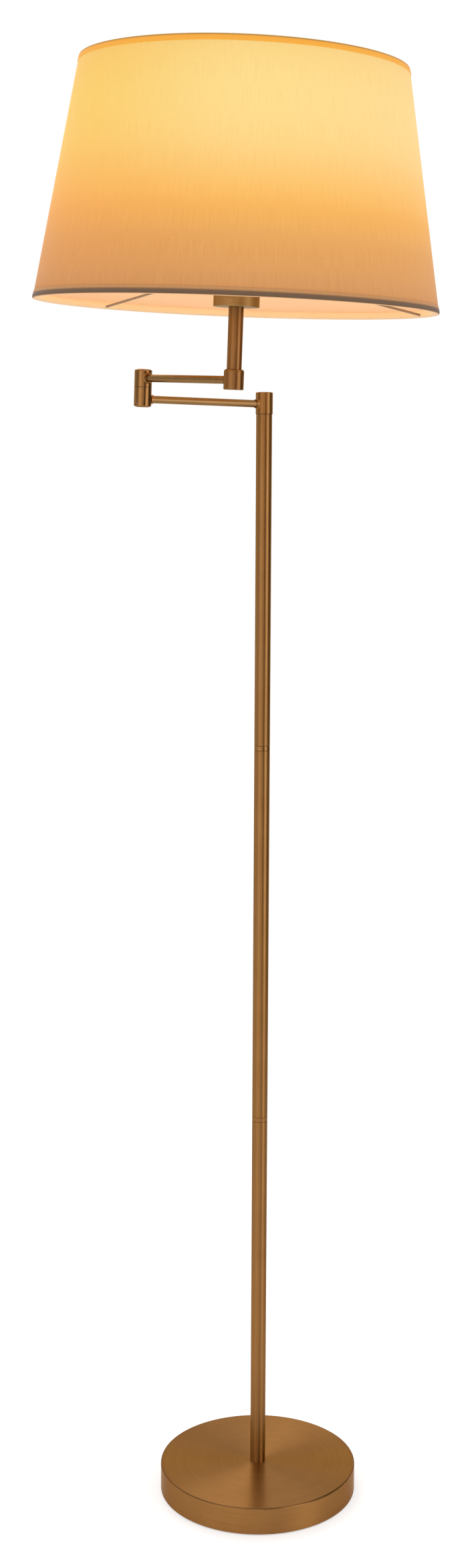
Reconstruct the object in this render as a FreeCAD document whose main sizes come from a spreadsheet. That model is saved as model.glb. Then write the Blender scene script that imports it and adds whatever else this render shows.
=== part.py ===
import FreeCAD, Part
import math
import os
import Sketcher

# Bridge floor lamp in millimetres: +Z is up, the origin is the centre of the base on the floor and
# -Y is the side the lamp is seen from. A lower arm turns on the pole and an upper arm turns on the
# lower arm's elbow. The upper arm carries a stem, a lampholder in a metal cup, and a lit shade.
#
# Three frames carry the pieces. The floor frame holds the base and the pole. The arm frame sits on
# the pole's axis at the height of the lower arm and looks along that arm. The elbow frame sits at the
# arm's far end, leans with the sag of the loaded arm, and looks along the upper arm.

SIZES = (
    ("base_radius", 130.0, "outside of the round base"),
    ("base_height", 37.0, "floor to the top of the base"),
    ("base_edge", 2.0, "rounding of the base cover's top edge"),
    ("skirt_gap", 1.5, "floor to the cover's lower edge"),
    ("cover_wall", 1.2, "sheet thickness of the base cover"),
    ("pad_radius", 126.0, "non-slip pad under the base"),
    ("pad_height", 2.0, "thickness of the pad"),
    ("weight_gap", 0.3, "side clearance between the weight and the cover"),
    ("weight_height", 18.0, "thickness of the weight's disc"),
    ("weight_boss", 30.0, "radius of the boss that carries the cover and the pole"),
    ("recess_radius", 20.0, "pocket under the weight for the nut"),
    ("recess_height", 12.0, "depth of that pocket"),
    ("channel_width", 12.0, "cord channel in the weight, from the pocket to the back"),
    ("channel_height", 12.0, "depth of the cord channel"),
    ("hole_gap", 0.5, "clearance of a plain hole round a threaded nipple"),
    ("nipple_radius", 5.0, "M10 threaded nipples, outside"),
    ("nipple_bore", 3.5, "M10 threaded nipples, inside"),
    ("base_nipple_low", 6.0, "lower end of the base nipple above the floor"),
    ("base_nipple_reach", 14.0, "base nipple above the top of the base"),
    ("washer_radius", 15.0, "washer under the weight"),
    ("washer_height", 2.0, "thickness of that washer"),
    ("nut_corner", 9.0, "hexagon nut, centre to corner"),
    ("nut_height", 4.0, "thickness of the hexagon nut"),
    ("grommet_height", 8.5, "axis of the cord inlet above the floor"),
    ("grommet_radius", 5.0, "cord inlet bush where it passes the cover"),
    ("grommet_flange", 7.0, "radius of the bush's flange"),
    ("grommet_lip", 1.5, "thickness of the bush's flange outside the cover"),
    ("grommet_depth", 5.5, "length of the bush inside the cover's outer face"),
    ("grommet_bore", 3.3, "hole for the cord"),
    ("pole_radius", 10.0, "pole tubes, outside"),
    ("pole_bore", 8.5, "pole tubes, inside"),
    ("seam_lower", 512.0, "height of the pole's lower screw joint"),
    ("seam_upper", 1001.0, "height of the pole's upper screw joint"),
    ("band_height", 6.0, "bare ring of a pole coupler between two tubes"),
    ("joint_chamfer", 0.4, "chamfer that shows each pole joint as a fine groove"),
    ("plug_length", 15.0, "coupler or foot bush inside a pole tube"),
    ("arm_height", 1432.0, "centre line of the lower arm above the floor"),
    ("arm_reach", 172.0, "pivot to pivot, the same for both arms"),
    ("arm_heading", 212.0, "direction of the lower arm, from +X towards +Y, degrees"),
    ("arm_twist", 3.5, "sag of the loaded arm: lean of the elbow about the arm, degrees"),
    ("elbow_turn", 98.0, "turn from the lower arm's direction to the upper arm's, degrees"),
    ("arm_radius", 4.5, "arm tubes, outside"),
    ("arm_bore", 3.5, "arm tubes, inside"),
    ("root_radius", 5.4, "socket round an arm's brazed end"),
    ("root_length", 2.6, "socket length out of the sleeve"),
    ("weld_radius", 1.7, "brazed fillet between socket and sleeve"),
    ("sleeve_bore", 8.0, "bore of the pole collar and of the elbow sleeves"),
    ("edge_radius", 0.8, "rounding of turned edges"),
    ("collar_round", 1.2, "rounding of the pole collar's cap and of the stem collar's lower edge"),
    ("collar_lip", 1.5, "thickness of the pole collar's cap outside its sleeve"),
    ("dome_side", 3.2, "elbow's domed ends: how far in from the side the slope starts"),
    ("dome_rise", 1.4, "elbow's domed ends: height of that slope"),
    ("dome_crown", 9.0, "elbow's domed ends: rounding between the slope and the flat"),
    ("dome_shoulder", 1.3, "elbow's domed ends: rounding between the slope and the side"),
    ("elbow_lip", 2.4, "thickness of the elbow's end pieces outside their sleeves"),
    ("cap_depth", 2.5, "part of an end cap inside its sleeve"),
    ("pivot_radius", 6.0, "shaft of both pivots"),
    ("pivot_bore", 3.5, "wire way through both pivots"),
    ("running_gap", 0.05, "radial clearance of a turning shaft, and axial gap of a turning face"),
    ("flange_height", 0.6, "flange of both bushes, between the turning faces"),
    ("ring_radius", 7.4, "washers and nuts on the pivots, corner or rim"),
    ("spring_height", 0.7, "spring washer under a pivot nut, pressed flat"),
    ("thin_nut", 3.0, "thickness of a pivot nut"),
    ("collar_radius", 10.7, "pole collar, outside"),
    ("collar_below", 12.4, "pole collar's lower face below the arm's centre line"),
    ("collar_above", 12.8, "pole collar's upper face above the arm's centre line"),
    ("pole_pivot_head", 7.6, "pole pivot's head pressed into the collar"),
    ("pole_bush_length", 24.0, "pole bush inside the pole"),
    ("sleeve_radius", 10.5, "elbow sleeves, outside"),
    ("elbow_below", 7.2, "lower sleeve's lower face below the lower arm's centre line"),
    ("elbow_seam", 14.0, "lower sleeve's upper face above the lower arm's centre line"),
    ("elbow_gap", 24.6, "lower arm's to upper arm's centre line, along the elbow"),
    ("upper_above", 8.3, "upper sleeve's upper face above the upper arm's centre line"),
    ("elbow_bush_length", 6.5, "elbow bush inside the lower sleeve"),
    ("elbow_pivot_head", 5.5, "elbow pivot's head pressed into the upper sleeve"),
    ("plug_height", 3.6, "elbow's lower end plug inside the lower sleeve"),
    ("grub_radius", 1.25, "grub screw that holds the elbow's lower end plug"),
    ("grub_seat", 3.0, "grub screw's tip inside the plug"),
    ("grub_height", 1.8, "grub screw's axis above the sleeve's lower face"),
    ("grub_side", 108.0, "direction of the grub screw round the elbow, degrees"),
    ("stem_below", 10.9, "stem collar's closed lower face below the upper arm's centre line"),
    ("stem_above", 11.8, "stem collar's upper face above the upper arm's centre line"),
    ("stem_collar_radius", 11.5, "stem collar, outside"),
    ("stem_floor", 2.4, "thickness of the stem collar's closed end"),
    ("stem_shoulder", 2.8, "rounding of the stem collar's shoulder"),
    ("stem_radius", 8.5, "stem tube, outside"),
    ("stem_bore", 7.0, "stem tube, inside"),
    ("stem_seat", 7.0, "stem tube inside its collar"),
    ("stem_bush_length", 12.0, "threaded bush in the top of the stem"),
    ("cup_base", 80.0, "upper arm's centre line to the underside of the socket cup"),
    ("cup_radius", 26.0, "socket cup, outside"),
    ("cup_height", 35.0, "socket cup, underside to rim"),
    ("cup_wall", 1.0, "sheet thickness of the cup"),
    ("cup_edge", 0.9, "rounding of the cup's lower edge"),
    ("holder_nipple_low", 10.0, "lampholder nipple below the cup's underside"),
    ("holder_nipple_high", 9.0, "lampholder nipple above the cup's underside"),
    ("holder_radius", 19.5, "lampholder's base and threaded skirt, outside"),
    ("holder_bore", 14.6, "lampholder's inside wall"),
    ("holder_wall", 2.0, "thickness of the lampholder base's walls"),
    ("holder_base_height", 18.0, "lampholder base above the cup's floor"),
    ("holder_flange", 2.0, "lampholder flange that closes the cup"),
    ("skirt_height", 9.0, "threaded skirt above the flange"),
    ("core_height", 7.0, "ceramic contact block"),
    ("shell_height", 18.0, "threaded contact shell"),
    ("shell_radius", 14.4, "threaded contact shell, outside"),
    ("cap_radius", 13.3, "screw cap of the bulb, outside"),
    ("bulb_cap_height", 24.0, "screw cap of the bulb"),
    ("bulb_wall", 1.0, "thickness of the bulb's glass and of its cap"),
    ("bulb_radius", 30.0, "round part of the bulb"),
    ("bulb_rise", 51.0, "cap's upper edge to the centre of the round part"),
    ("contact_radius", 4.5, "bulb's centre contact"),
    ("contact_height", 1.5, "bulb's centre contact below the cap"),
    ("strip_radius", 3.0, "lampholder's centre contact"),
    ("strip_height", 2.0, "lampholder's centre contact above its block"),
    ("shade_base", 80.0, "upper arm's centre line to the shade's lower edge"),
    ("shade_bottom", 227.0, "radius of the shade's lower edge"),
    ("shade_top", 181.0, "radius of the shade's upper edge"),
    ("shade_height", 258.0, "height of the shade"),
    ("fabric", 0.9, "thickness of the shade's fabric"),
    ("lining", 0.6, "thickness of the stiff lining behind the fabric"),
    ("trim", 0.5, "thickness of the folded edge tape"),
    ("trim_bottom", 9.0, "height of the lower edge tape"),
    ("trim_top", 7.0, "height of the upper edge tape"),
    ("trim_fold", 5.2, "inner leg of the upper edge tape"),
    ("wire_bottom", 2.2, "radius of the shade's lower wire ring"),
    ("wire_top", 1.6, "radius of the shade's upper wire ring"),
    ("hub_radius", 28.0, "spider's centre ring, outside"),
    ("hub_height", 3.0, "thickness of the spider's centre ring"),
    ("spoke_radius", 1.4, "spider's spokes"),
    ("spoke_weld", 1.0, "spoke's end inside the centre ring"),
    ("spoke_first", 66.0, "direction of the first spoke in the elbow frame, degrees"),
    ("ring_nut_radius", 25.5, "shade ring nut, outside"),
    ("ring_nut_height", 6.0, "thickness of the shade ring nut"),
)

SPOKES = 3
HEX_SIDES = 6
FULL_TURN = 360.0
TOUCH = 1e-3
LEAST_CUT = 1.0

doc = FreeCAD.newDocument("bridge_floor_lamp")
sheet = doc.addObject("Spreadsheet::Sheet", "Sizes")
for row, (alias, number, note) in enumerate(SIZES, start=1):
    sheet.set(f"A{row}", alias)
    sheet.set(f"B{row}", str(number))
    sheet.set(f"C{row}", note)
    sheet.setAlias(f"B{row}", alias)
doc.recompute()


class Size:
    """A length from the sheet, or a sum of such lengths, kept both as a number and as its formula."""

    def __init__(self, value, formula):
        self.value = value
        self.formula = formula

    def __add__(self, other):
        return Size(self.value + other.value, f"({self.formula} + {other.formula})")

    def __sub__(self, other):
        return Size(self.value - other.value, f"({self.formula} - {other.formula})")

    def __mul__(self, factor):
        return Size(self.value * factor, f"({self.formula} * {factor})")


def size(alias):
    """Read one cell of the sheet."""
    return Size(float(sheet.get(alias)), f"Sizes.{alias}")


ZERO = size("base_radius") * 0.0
nodes = {}


def bind(thing, prop, length):
    """Tie one property of an object to the sheet."""
    thing.setExpression(prop, length.formula)


def keep(thing, name, frame=None, x=0.0, y=0.0, z=0.0):
    """Give a finished sub-part its name and its place in a frame, and list it for export."""
    offset = FreeCAD.Placement(FreeCAD.Vector(x, y, z), FreeCAD.Rotation())
    thing.Placement = offset if frame is None else frame.multiply(offset)
    thing.Label = name
    nodes[name] = thing
    return thing


def sketch_on(body, role, name):
    """Start a sketch on one of a body's own origin planes."""
    sketch = body.newObject("Sketcher::SketchObject", name)
    plane = next(item for item in body.Origin.OriginFeatures if item.Role == role)
    sketch.AttachmentSupport = [(plane, "")]
    sketch.MapMode = "FlatFace"
    return sketch


def pin_point(sketch, kind, geometry, position, length):
    """Tie a sketch point's distance from the origin to the sheet; a zero distance lies on the axis."""
    if length.value == 0.0:
        axis = -2 if kind == "DistanceX" else -1
        sketch.addConstraint(Sketcher.Constraint("PointOnObject", geometry, position, axis))
        return
    index = sketch.addConstraint(
        Sketcher.Constraint(kind, -1, 1, geometry, position, length.value))
    sketch.setExpression(f"Constraints[{index}]", length.formula)


def draw_outline(sketch, corners):
    """Draw straight edges through (across, up) corners and pin every corner."""
    points = [FreeCAD.Vector(across.value, up.value, 0.0) for across, up in corners]
    for start, end in zip(points, points[1:] + points[:1]):
        sketch.addGeometry(Part.LineSegment(start, end), False)
    for index in range(len(points)):
        following = (index + 1) % len(points)
        sketch.addConstraint(Sketcher.Constraint("Coincident", index, 2, following, 1))
    for index, (across, up) in enumerate(corners):
        pin_point(sketch, "DistanceX", index, 1, across)
        pin_point(sketch, "DistanceY", index, 1, up)


def draw_circle(sketch, up, radius):
    """Draw a circle on the sketch's vertical axis at a height, with its radius tied to the sheet."""
    centre = FreeCAD.Vector(0.0, up.value, 0.0)
    sketch.addGeometry(Part.Circle(centre, FreeCAD.Vector(0, 0, 1), radius.value), False)
    pin_point(sketch, "DistanceX", 0, 3, ZERO)
    pin_point(sketch, "DistanceY", 0, 3, up)
    index = sketch.addConstraint(Sketcher.Constraint("Radius", 0, radius.value))
    sketch.setExpression(f"Constraints[{index}]", radius.formula)


def turned(name, corners):
    """Turn a closed outline of (radius, height) corners round the body's own upright axis."""
    body = doc.addObject("PartDesign::Body", name)
    sketch = sketch_on(body, "XZ_Plane", name + "_outline")
    draw_outline(sketch, corners)
    turn = body.newObject("PartDesign::Revolution", name + "_turn")
    turn.Profile = sketch
    turn.ReferenceAxis = (sketch, ["V_Axis"])
    turn.Angle = FULL_TURN
    doc.recompute()
    return body


def tube(name, outside, inside, height):
    """A plain tube or ring that stands on the body's origin."""
    return turned(name, [(inside, ZERO), (outside, ZERO), (outside, height), (inside, height)])


def rim_edges(body, radius, heights):
    """Names of the circular edges of one radius at the given heights."""
    found = []
    for index, edge in enumerate(body.Shape.Edges, start=1):
        curve = edge.Curve
        if not isinstance(curve, Part.Circle) or abs(curve.Radius - radius.value) > TOUCH:
            continue
        if any(abs(curve.Center.z - height.value) < TOUCH for height in heights):
            found.append(f"Edge{index}")
    if len(found) != len(heights):
        raise RuntimeError(f"{body.Name}: found {found} of {len(heights)} rims")
    return found


def dress(body, kind, edges, prop, length):
    """Round or bevel the named edges of a body's latest feature."""
    latest = body.Tip
    feature = body.newObject(f"PartDesign::{kind}", f"{body.Name}_{kind.lower()}")
    feature.Base = (latest, edges)
    bind(feature, prop, length)
    body.Tip = feature
    doc.recompute()
    return feature


def round_rims(body, radius, heights, length):
    """Round turned edges."""
    return dress(body, "Fillet", rim_edges(body, radius, heights), "Radius", length)


def bevel_rims(body, radius, heights, length):
    """Bevel turned edges."""
    return dress(body, "Chamfer", rim_edges(body, radius, heights), "Size", length)


def cut_feature(body, kind, sketch, name, **settings):
    """Add a Pocket or a Groove and make sure that it took some cubic millimetres away."""
    before = body.Shape.Volume
    feature = body.newObject(f"PartDesign::{kind}", name)
    feature.Profile = sketch
    for prop, setting in settings.items():
        if isinstance(setting, Size):
            bind(feature, prop, setting)
        else:
            setattr(feature, prop, setting)
    doc.recompute()
    if not body.Shape.Volume < before - LEAST_CUT:
        raise RuntimeError(f"{name} cuts nothing")
    return feature


def bore_out(body, radius, low, high):
    """Turn a cylindrical hole round the body's upright axis between two heights."""
    sketch = sketch_on(body, "XZ_Plane", body.Name + "_bore")
    draw_outline(sketch, [(ZERO, low), (radius, low), (radius, high), (ZERO, high)])
    return cut_feature(body, "Groove", sketch, body.Name + "_bore_cut",
                       ReferenceAxis=(sketch, ["V_Axis"]), Angle=FULL_TURN)


def arm_sleeve(name, outside, inside, height, axis_height, forward, floor=ZERO, rounds=()):
    """A sleeve with a socket for an arm's end brazed to its side.

    The socket points along +X when forward is true and along -X otherwise. The bore starts at
    floor, so a floor of zero leaves the sleeve open at both ends. Each of rounds is the height of
    an outer edge and its rounding.
    """
    body = turned(name, [(ZERO, ZERO), (outside, ZERO), (outside, height), (ZERO, height)])
    socket = sketch_on(body, "YZ_Plane", name + "_socket")
    draw_circle(socket, axis_height, size("root_radius"))
    pad = body.newObject("PartDesign::Pad", name + "_socket_pad")
    pad.Profile = socket
    bind(pad, "Length", outside + size("root_length"))
    pad.Reversed = not forward
    doc.recompute()
    weld = socket_edges(body, outside, axis_height, forward)
    dress(body, "Fillet", weld, "Radius", size("weld_radius"))
    for rim, rounding in rounds:
        round_rims(body, outside, [rim], rounding)
    bore_out(body, inside, floor, height)
    hole = sketch_on(body, "YZ_Plane", name + "_arm_hole")
    draw_circle(hole, axis_height, size("arm_radius"))
    reach = outside + size("root_length")
    cut_feature(body, "Pocket", hole, name + "_arm_hole_cut",
                Length=reach, Reversed=forward)
    return body


def socket_edges(body, outside, axis_height, forward):
    """Edges where an arm's socket meets the round wall of its sleeve."""
    side = 1.0 if forward else -1.0
    reach = size("root_radius").value + TOUCH
    found = []
    for index, edge in enumerate(body.Shape.Edges, start=1):
        middle = edge.valueAt((edge.FirstParameter + edge.LastParameter) / 2.0)
        on_wall = abs(math.hypot(middle.x, middle.y) - outside.value) < TOUCH
        near = math.hypot(middle.y, middle.z - axis_height.value) < reach
        if on_wall and near and middle.x * side > 0.0:
            found.append(f"Edge{index}")
    if not found:
        raise RuntimeError(f"{body.Name}: no socket edge")
    return found


def arm_tube(name, end_gap_near, end_gap_far, frame, height):
    """An arm's tube along +X of its frame, from one sleeve's bore to the next."""
    length = size("arm_reach") - end_gap_near - end_gap_far
    body = tube(name, size("arm_radius"), size("arm_bore"), length)
    lie_down = FreeCAD.Rotation(FreeCAD.Vector(0, 1, 0), 90.0)
    start = FreeCAD.Vector(end_gap_near.value, 0.0, height)
    return keep(body, name, frame.multiply(FreeCAD.Placement(start, lie_down)))


def round_dome(body, outside, crown, shoulder):
    """Round the two edges of a domed end, whose crown and shoulder stand at the given heights."""
    round_rims(body, outside - size("dome_side"), [crown], size("dome_crown"))
    round_rims(body, outside, [shoulder], size("dome_shoulder"))


def flanged_bush(name, flange, outside, inside, length):
    """A bush that hangs in a tube by its flange; its origin is the flange's underside."""
    flange_top = length + size("flange_height")
    return turned(name, [(inside, ZERO), (outside, ZERO), (outside, length), (flange, length),
                         (flange, flange_top), (inside, flange_top)])


def pivot_pin(name, shaft_length, head_height):
    """A hollow turned pin: a running shaft below and a wide head pressed into a sleeve."""
    top = shaft_length + head_height
    shaft = size("pivot_radius")
    inside = size("pivot_bore")
    head = size("sleeve_bore")
    return turned(name, [(inside, ZERO), (shaft, ZERO), (shaft, shaft_length),
                         (head, shaft_length), (head, top), (inside, top)])


def hex_nut(name, corner, bore, height):
    """A hexagon nut that stands on its origin."""
    blank = doc.addObject("Part::Prism", name + "_blank")
    blank.Polygon = HEX_SIDES
    bind(blank, "Circumradius", corner)
    bind(blank, "Height", height)
    hole = doc.addObject("Part::Cylinder", name + "_hole")
    bind(hole, "Radius", bore)
    bind(hole, "Height", height)
    nut = doc.addObject("Part::Cut", name)
    nut.Base = blank
    nut.Tool = hole
    return nut


# Frames

def upright(angle):
    """A turn about the upright axis."""
    return FreeCAD.Placement(FreeCAD.Vector(), FreeCAD.Rotation(FreeCAD.Vector(0, 0, 1), angle))


arm_frame = FreeCAD.Placement(FreeCAD.Vector(0, 0, size("arm_height").value), FreeCAD.Rotation())
arm_frame = arm_frame.multiply(upright(size("arm_heading").value))
sag = FreeCAD.Rotation(FreeCAD.Vector(1, 0, 0), -size("arm_twist").value)
lower_frame = arm_frame.multiply(
    FreeCAD.Placement(FreeCAD.Vector(size("arm_reach").value, 0, 0), sag))
head_frame = lower_frame.multiply(upright(size("elbow_turn").value))


# Base

def build_base():
    """Cover, weight, pad, cord inlet and the threaded stack that clamps the pole."""
    outside = size("base_radius")
    wall = size("cover_wall")
    skirt = size("base_height") - size("skirt_gap")
    hole = size("nipple_radius") + size("hole_gap")

    cover = turned("base_cover", [
        (outside - wall, ZERO), (outside, ZERO), (outside, skirt), (hole, skirt),
        (hole, skirt - wall), (outside - wall, skirt - wall)])
    round_rims(cover, outside, [skirt], size("base_edge"))
    round_rims(cover, outside - wall, [skirt - wall], size("edge_radius"))
    inlet = sketch_on(cover, "XZ_Plane", "base_cover_inlet")
    draw_circle(inlet, size("grommet_height") - size("skirt_gap"), size("grommet_radius"))
    cut_feature(cover, "Pocket", inlet, "base_cover_inlet_cut",
                Length=outside + wall, Reversed=False)
    keep(cover, "base_cover", z=size("skirt_gap").value)

    disc = size("weight_height")
    boss = size("base_height") - wall - size("pad_height")
    weight_radius = outside - wall - size("weight_gap")
    recess = size("recess_radius")
    weight = turned("base_weight", [
        (recess, ZERO), (weight_radius, ZERO), (weight_radius, disc), (size("weight_boss"), disc),
        (size("weight_boss"), boss), (hole, boss), (hole, size("recess_height")),
        (recess, size("recess_height"))])
    channel = sketch_on(weight, "XY_Plane", "base_weight_channel")
    draw_outline(channel, [
        (size("channel_width") * -0.5, ZERO), (size("channel_width") * 0.5, ZERO),
        (size("channel_width") * 0.5, outside), (size("channel_width") * -0.5, outside)])
    cut_feature(weight, "Pocket", channel, "base_weight_channel_cut",
                Length=size("channel_height"), Reversed=True)
    keep(weight, "base_weight", z=size("pad_height").value)

    pad = doc.addObject("Part::Cylinder", "base_pad")
    bind(pad, "Radius", size("pad_radius"))
    bind(pad, "Height", size("pad_height"))
    keep(pad, "base_pad")

    lip = size("grommet_lip")
    grommet = turned("cord_grommet", [
        (size("grommet_bore"), ZERO), (size("grommet_radius"), ZERO),
        (size("grommet_radius"), size("grommet_depth")),
        (size("grommet_flange"), size("grommet_depth")),
        (size("grommet_flange"), size("grommet_depth") + lip),
        (size("grommet_bore"), size("grommet_depth") + lip)])
    round_rims(grommet, size("grommet_flange"), [size("grommet_depth") + lip], size("edge_radius"))
    face_back = FreeCAD.Rotation(FreeCAD.Vector(1, 0, 0), -90.0)
    start = FreeCAD.Vector(0.0, (outside - size("grommet_depth")).value, size("grommet_height").value)
    keep(grommet, "cord_grommet", FreeCAD.Placement(start, face_back))

    nipple_low = size("base_nipple_low")
    nipple = tube("base_nipple", size("nipple_radius"), size("nipple_bore"),
                  size("base_height") + size("base_nipple_reach") - nipple_low)
    keep(nipple, "base_nipple", z=nipple_low.value)
    washer_low = size("pad_height") + size("recess_height") - size("washer_height")
    keep(tube("base_washer", size("washer_radius"), size("nipple_radius"), size("washer_height")),
         "base_washer", z=washer_low.value)
    nut = hex_nut("base_nut", size("nut_corner"), size("nipple_radius"), size("nut_height"))
    keep(nut, "base_nut", z=(washer_low - size("nut_height")).value)


# Pole

def build_pole():
    """Three tubes, the foot bush, two couplers and the bush in which the lower arm's pivot turns."""
    outside = size("pole_radius")
    inside = size("pole_bore")
    half_band = size("band_height") * 0.5
    bush_top = size("arm_height") - size("collar_below") - size("running_gap")
    pole_top = bush_top - size("flange_height")
    stretches = (
        ("pole_lower", size("base_height"), size("seam_lower") - half_band),
        ("pole_middle", size("seam_lower") + half_band, size("seam_upper") - half_band),
        ("pole_upper", size("seam_upper") + half_band, pole_top),
    )
    for name, low, high in stretches:
        length = high - low
        piece = tube(name, outside, inside, length)
        rims = [length] if name == "pole_lower" else [ZERO]
        if name == "pole_middle":
            rims = [ZERO, length]
        bevel_rims(piece, outside, rims, size("joint_chamfer"))
        keep(piece, name, z=low.value)

    foot = tube("pole_foot_bush", inside, size("nipple_radius"), size("plug_length"))
    keep(foot, "pole_foot_bush", z=size("base_height").value)

    plug = size("plug_length")
    band = size("band_height")
    for name, seam in (("pole_coupler_lower", "seam_lower"), ("pole_coupler_upper", "seam_upper")):
        top = plug + band + plug
        coupler = turned(name, [
            (size("nipple_radius"), ZERO), (inside, ZERO), (inside, plug), (outside, plug),
            (outside, plug + band), (inside, plug + band), (inside, top),
            (size("nipple_radius"), top)])
        bevel_rims(coupler, outside, [plug, plug + band], size("joint_chamfer"))
        keep(coupler, name, z=(size(seam) - half_band - plug).value)

    bush = flanged_bush("pole_bush", outside, inside,
                        size("pivot_radius") + size("running_gap"), size("pole_bush_length"))
    keep(bush, "pole_bush", z=(pole_top - size("pole_bush_length")).value)


def pivot_ring(name, frame, top):
    """Spring washer and thin nut below a bush, hung from the height of the washer's upper face."""
    washer_low = top - size("spring_height")
    washer = tube(name + "_washer", size("ring_radius"), size("pivot_radius"),
                  size("spring_height"))
    keep(washer, name + "_washer", frame, z=washer_low.value)
    nut = hex_nut(name + "_nut", size("ring_radius"), size("pivot_radius"), size("thin_nut"))
    keep(nut, name + "_nut", frame, z=(washer_low - size("thin_nut")).value)


# Lower arm

def build_lower_arm():
    """Pole collar and its pivot, the lower arm's tube, and the elbow's lower sleeve."""
    below = size("collar_below")
    height = below + size("collar_above")
    outside = size("collar_radius")
    collar = arm_sleeve("pole_collar", outside, size("sleeve_bore"), height, below, forward=True)
    keep(collar, "pole_collar", arm_frame, z=-below.value)
    depth = size("cap_depth")
    top = depth + size("collar_lip")
    cap = turned("pole_collar_cap", [
        (ZERO, ZERO), (size("sleeve_bore"), ZERO), (size("sleeve_bore"), depth), (outside, depth),
        (outside, top), (ZERO, top)])
    round_rims(cap, outside, [top], size("collar_round"))
    keep(cap, "pole_collar_cap", arm_frame, z=(size("collar_above") - size("cap_depth")).value)

    shaft = (size("pole_bush_length") + size("flange_height") + size("running_gap") * 2.0
             + size("spring_height") + size("thin_nut"))
    pivot = pivot_pin("pole_pivot", shaft, size("pole_pivot_head"))
    keep(pivot, "pole_pivot", arm_frame, z=(ZERO - below - shaft).value)
    bush_low = (ZERO - below - size("running_gap") - size("flange_height")
                - size("pole_bush_length"))
    pivot_ring("pole_pivot", arm_frame, bush_low - size("running_gap"))

    tube_gap = size("sleeve_bore")
    arm_tube("lower_arm", tube_gap, tube_gap, arm_frame, 0.0)

    lower_below = size("elbow_below")
    lower_height = lower_below + size("elbow_seam")
    sleeve = arm_sleeve("elbow_lower_sleeve", size("sleeve_radius"), size("sleeve_bore"),
                        lower_height, lower_below, forward=False)
    drill_grub_hole(sleeve)
    keep(sleeve, "elbow_lower_sleeve", lower_frame, z=-lower_below.value)

    lip = size("elbow_lip")
    plug_top = lip + size("plug_height")
    around = size("sleeve_radius")
    plug = turned("elbow_end_plug", [
        (ZERO, ZERO), (around - size("dome_side"), ZERO), (around, size("dome_rise")),
        (around, lip), (size("sleeve_bore"), lip), (size("sleeve_bore"), plug_top),
        (ZERO, plug_top)])
    round_dome(plug, around, ZERO, size("dome_rise"))
    drill_plug_hole(plug)
    keep(plug, "elbow_end_plug", lower_frame, z=-(lower_below + lip).value)
    build_grub_screw()

    bush = flanged_bush("elbow_bush", size("sleeve_radius"), size("sleeve_bore"),
                        size("pivot_radius") + size("running_gap"), size("elbow_bush_length"))
    keep(bush, "elbow_bush", lower_frame,
         z=(size("elbow_seam") - size("elbow_bush_length")).value)


def grub_sketch(body, height):
    """A circle for the grub screw on the body's XZ plane, turned to the screw's direction."""
    sketch = sketch_on(body, "XZ_Plane", body.Name + "_grub")
    sketch.AttachmentOffset = FreeCAD.Placement(
        FreeCAD.Vector(), FreeCAD.Rotation(FreeCAD.Vector(0, 1, 0), size("grub_side").value))
    draw_circle(sketch, height, size("grub_radius"))
    return sketch


def drill_grub_hole(sleeve):
    """Threaded hole through the sleeve's wall."""
    sketch = grub_sketch(sleeve, size("grub_height"))
    cut_feature(sleeve, "Pocket", sketch, "elbow_lower_sleeve_grub_cut",
                Length=size("sleeve_radius"), Reversed=True)


def drill_plug_hole(plug):
    """Blind seat for the screw's tip in the end plug: a hole that starts inside the plug."""
    sketch = grub_sketch(plug, size("grub_height") + size("elbow_lip"))
    start = size("sleeve_bore") - size("grub_seat")
    step_out = FreeCAD.Placement(FreeCAD.Vector(0, 0, start.value), FreeCAD.Rotation())
    sketch.AttachmentOffset = sketch.AttachmentOffset.multiply(step_out)
    cut_feature(plug, "Pocket", sketch, "elbow_end_plug_grub_cut",
                Length=size("grub_seat"), Reversed=True)


def build_grub_screw():
    """The screw lies along the hole, from its seat in the plug to just under the sleeve's wall."""
    screw = doc.addObject("Part::Cylinder", "elbow_grub_screw")
    bind(screw, "Radius", size("grub_radius"))
    wall = size("sleeve_radius") - size("sleeve_bore")
    bind(screw, "Height", wall + size("grub_seat") - size("edge_radius"))
    turn = FreeCAD.Rotation(FreeCAD.Vector(0, 0, 1), size("grub_side").value)
    outward = turn.multVec(FreeCAD.Vector(0, -1, 0))
    start = outward * (size("sleeve_bore") - size("grub_seat")).value
    start.z = size("grub_height").value - size("elbow_below").value
    along = FreeCAD.Rotation(FreeCAD.Vector(0, 0, 1), outward)
    keep(screw, "elbow_grub_screw", lower_frame.multiply(FreeCAD.Placement(start, along)))


# Upper arm and stem

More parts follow.
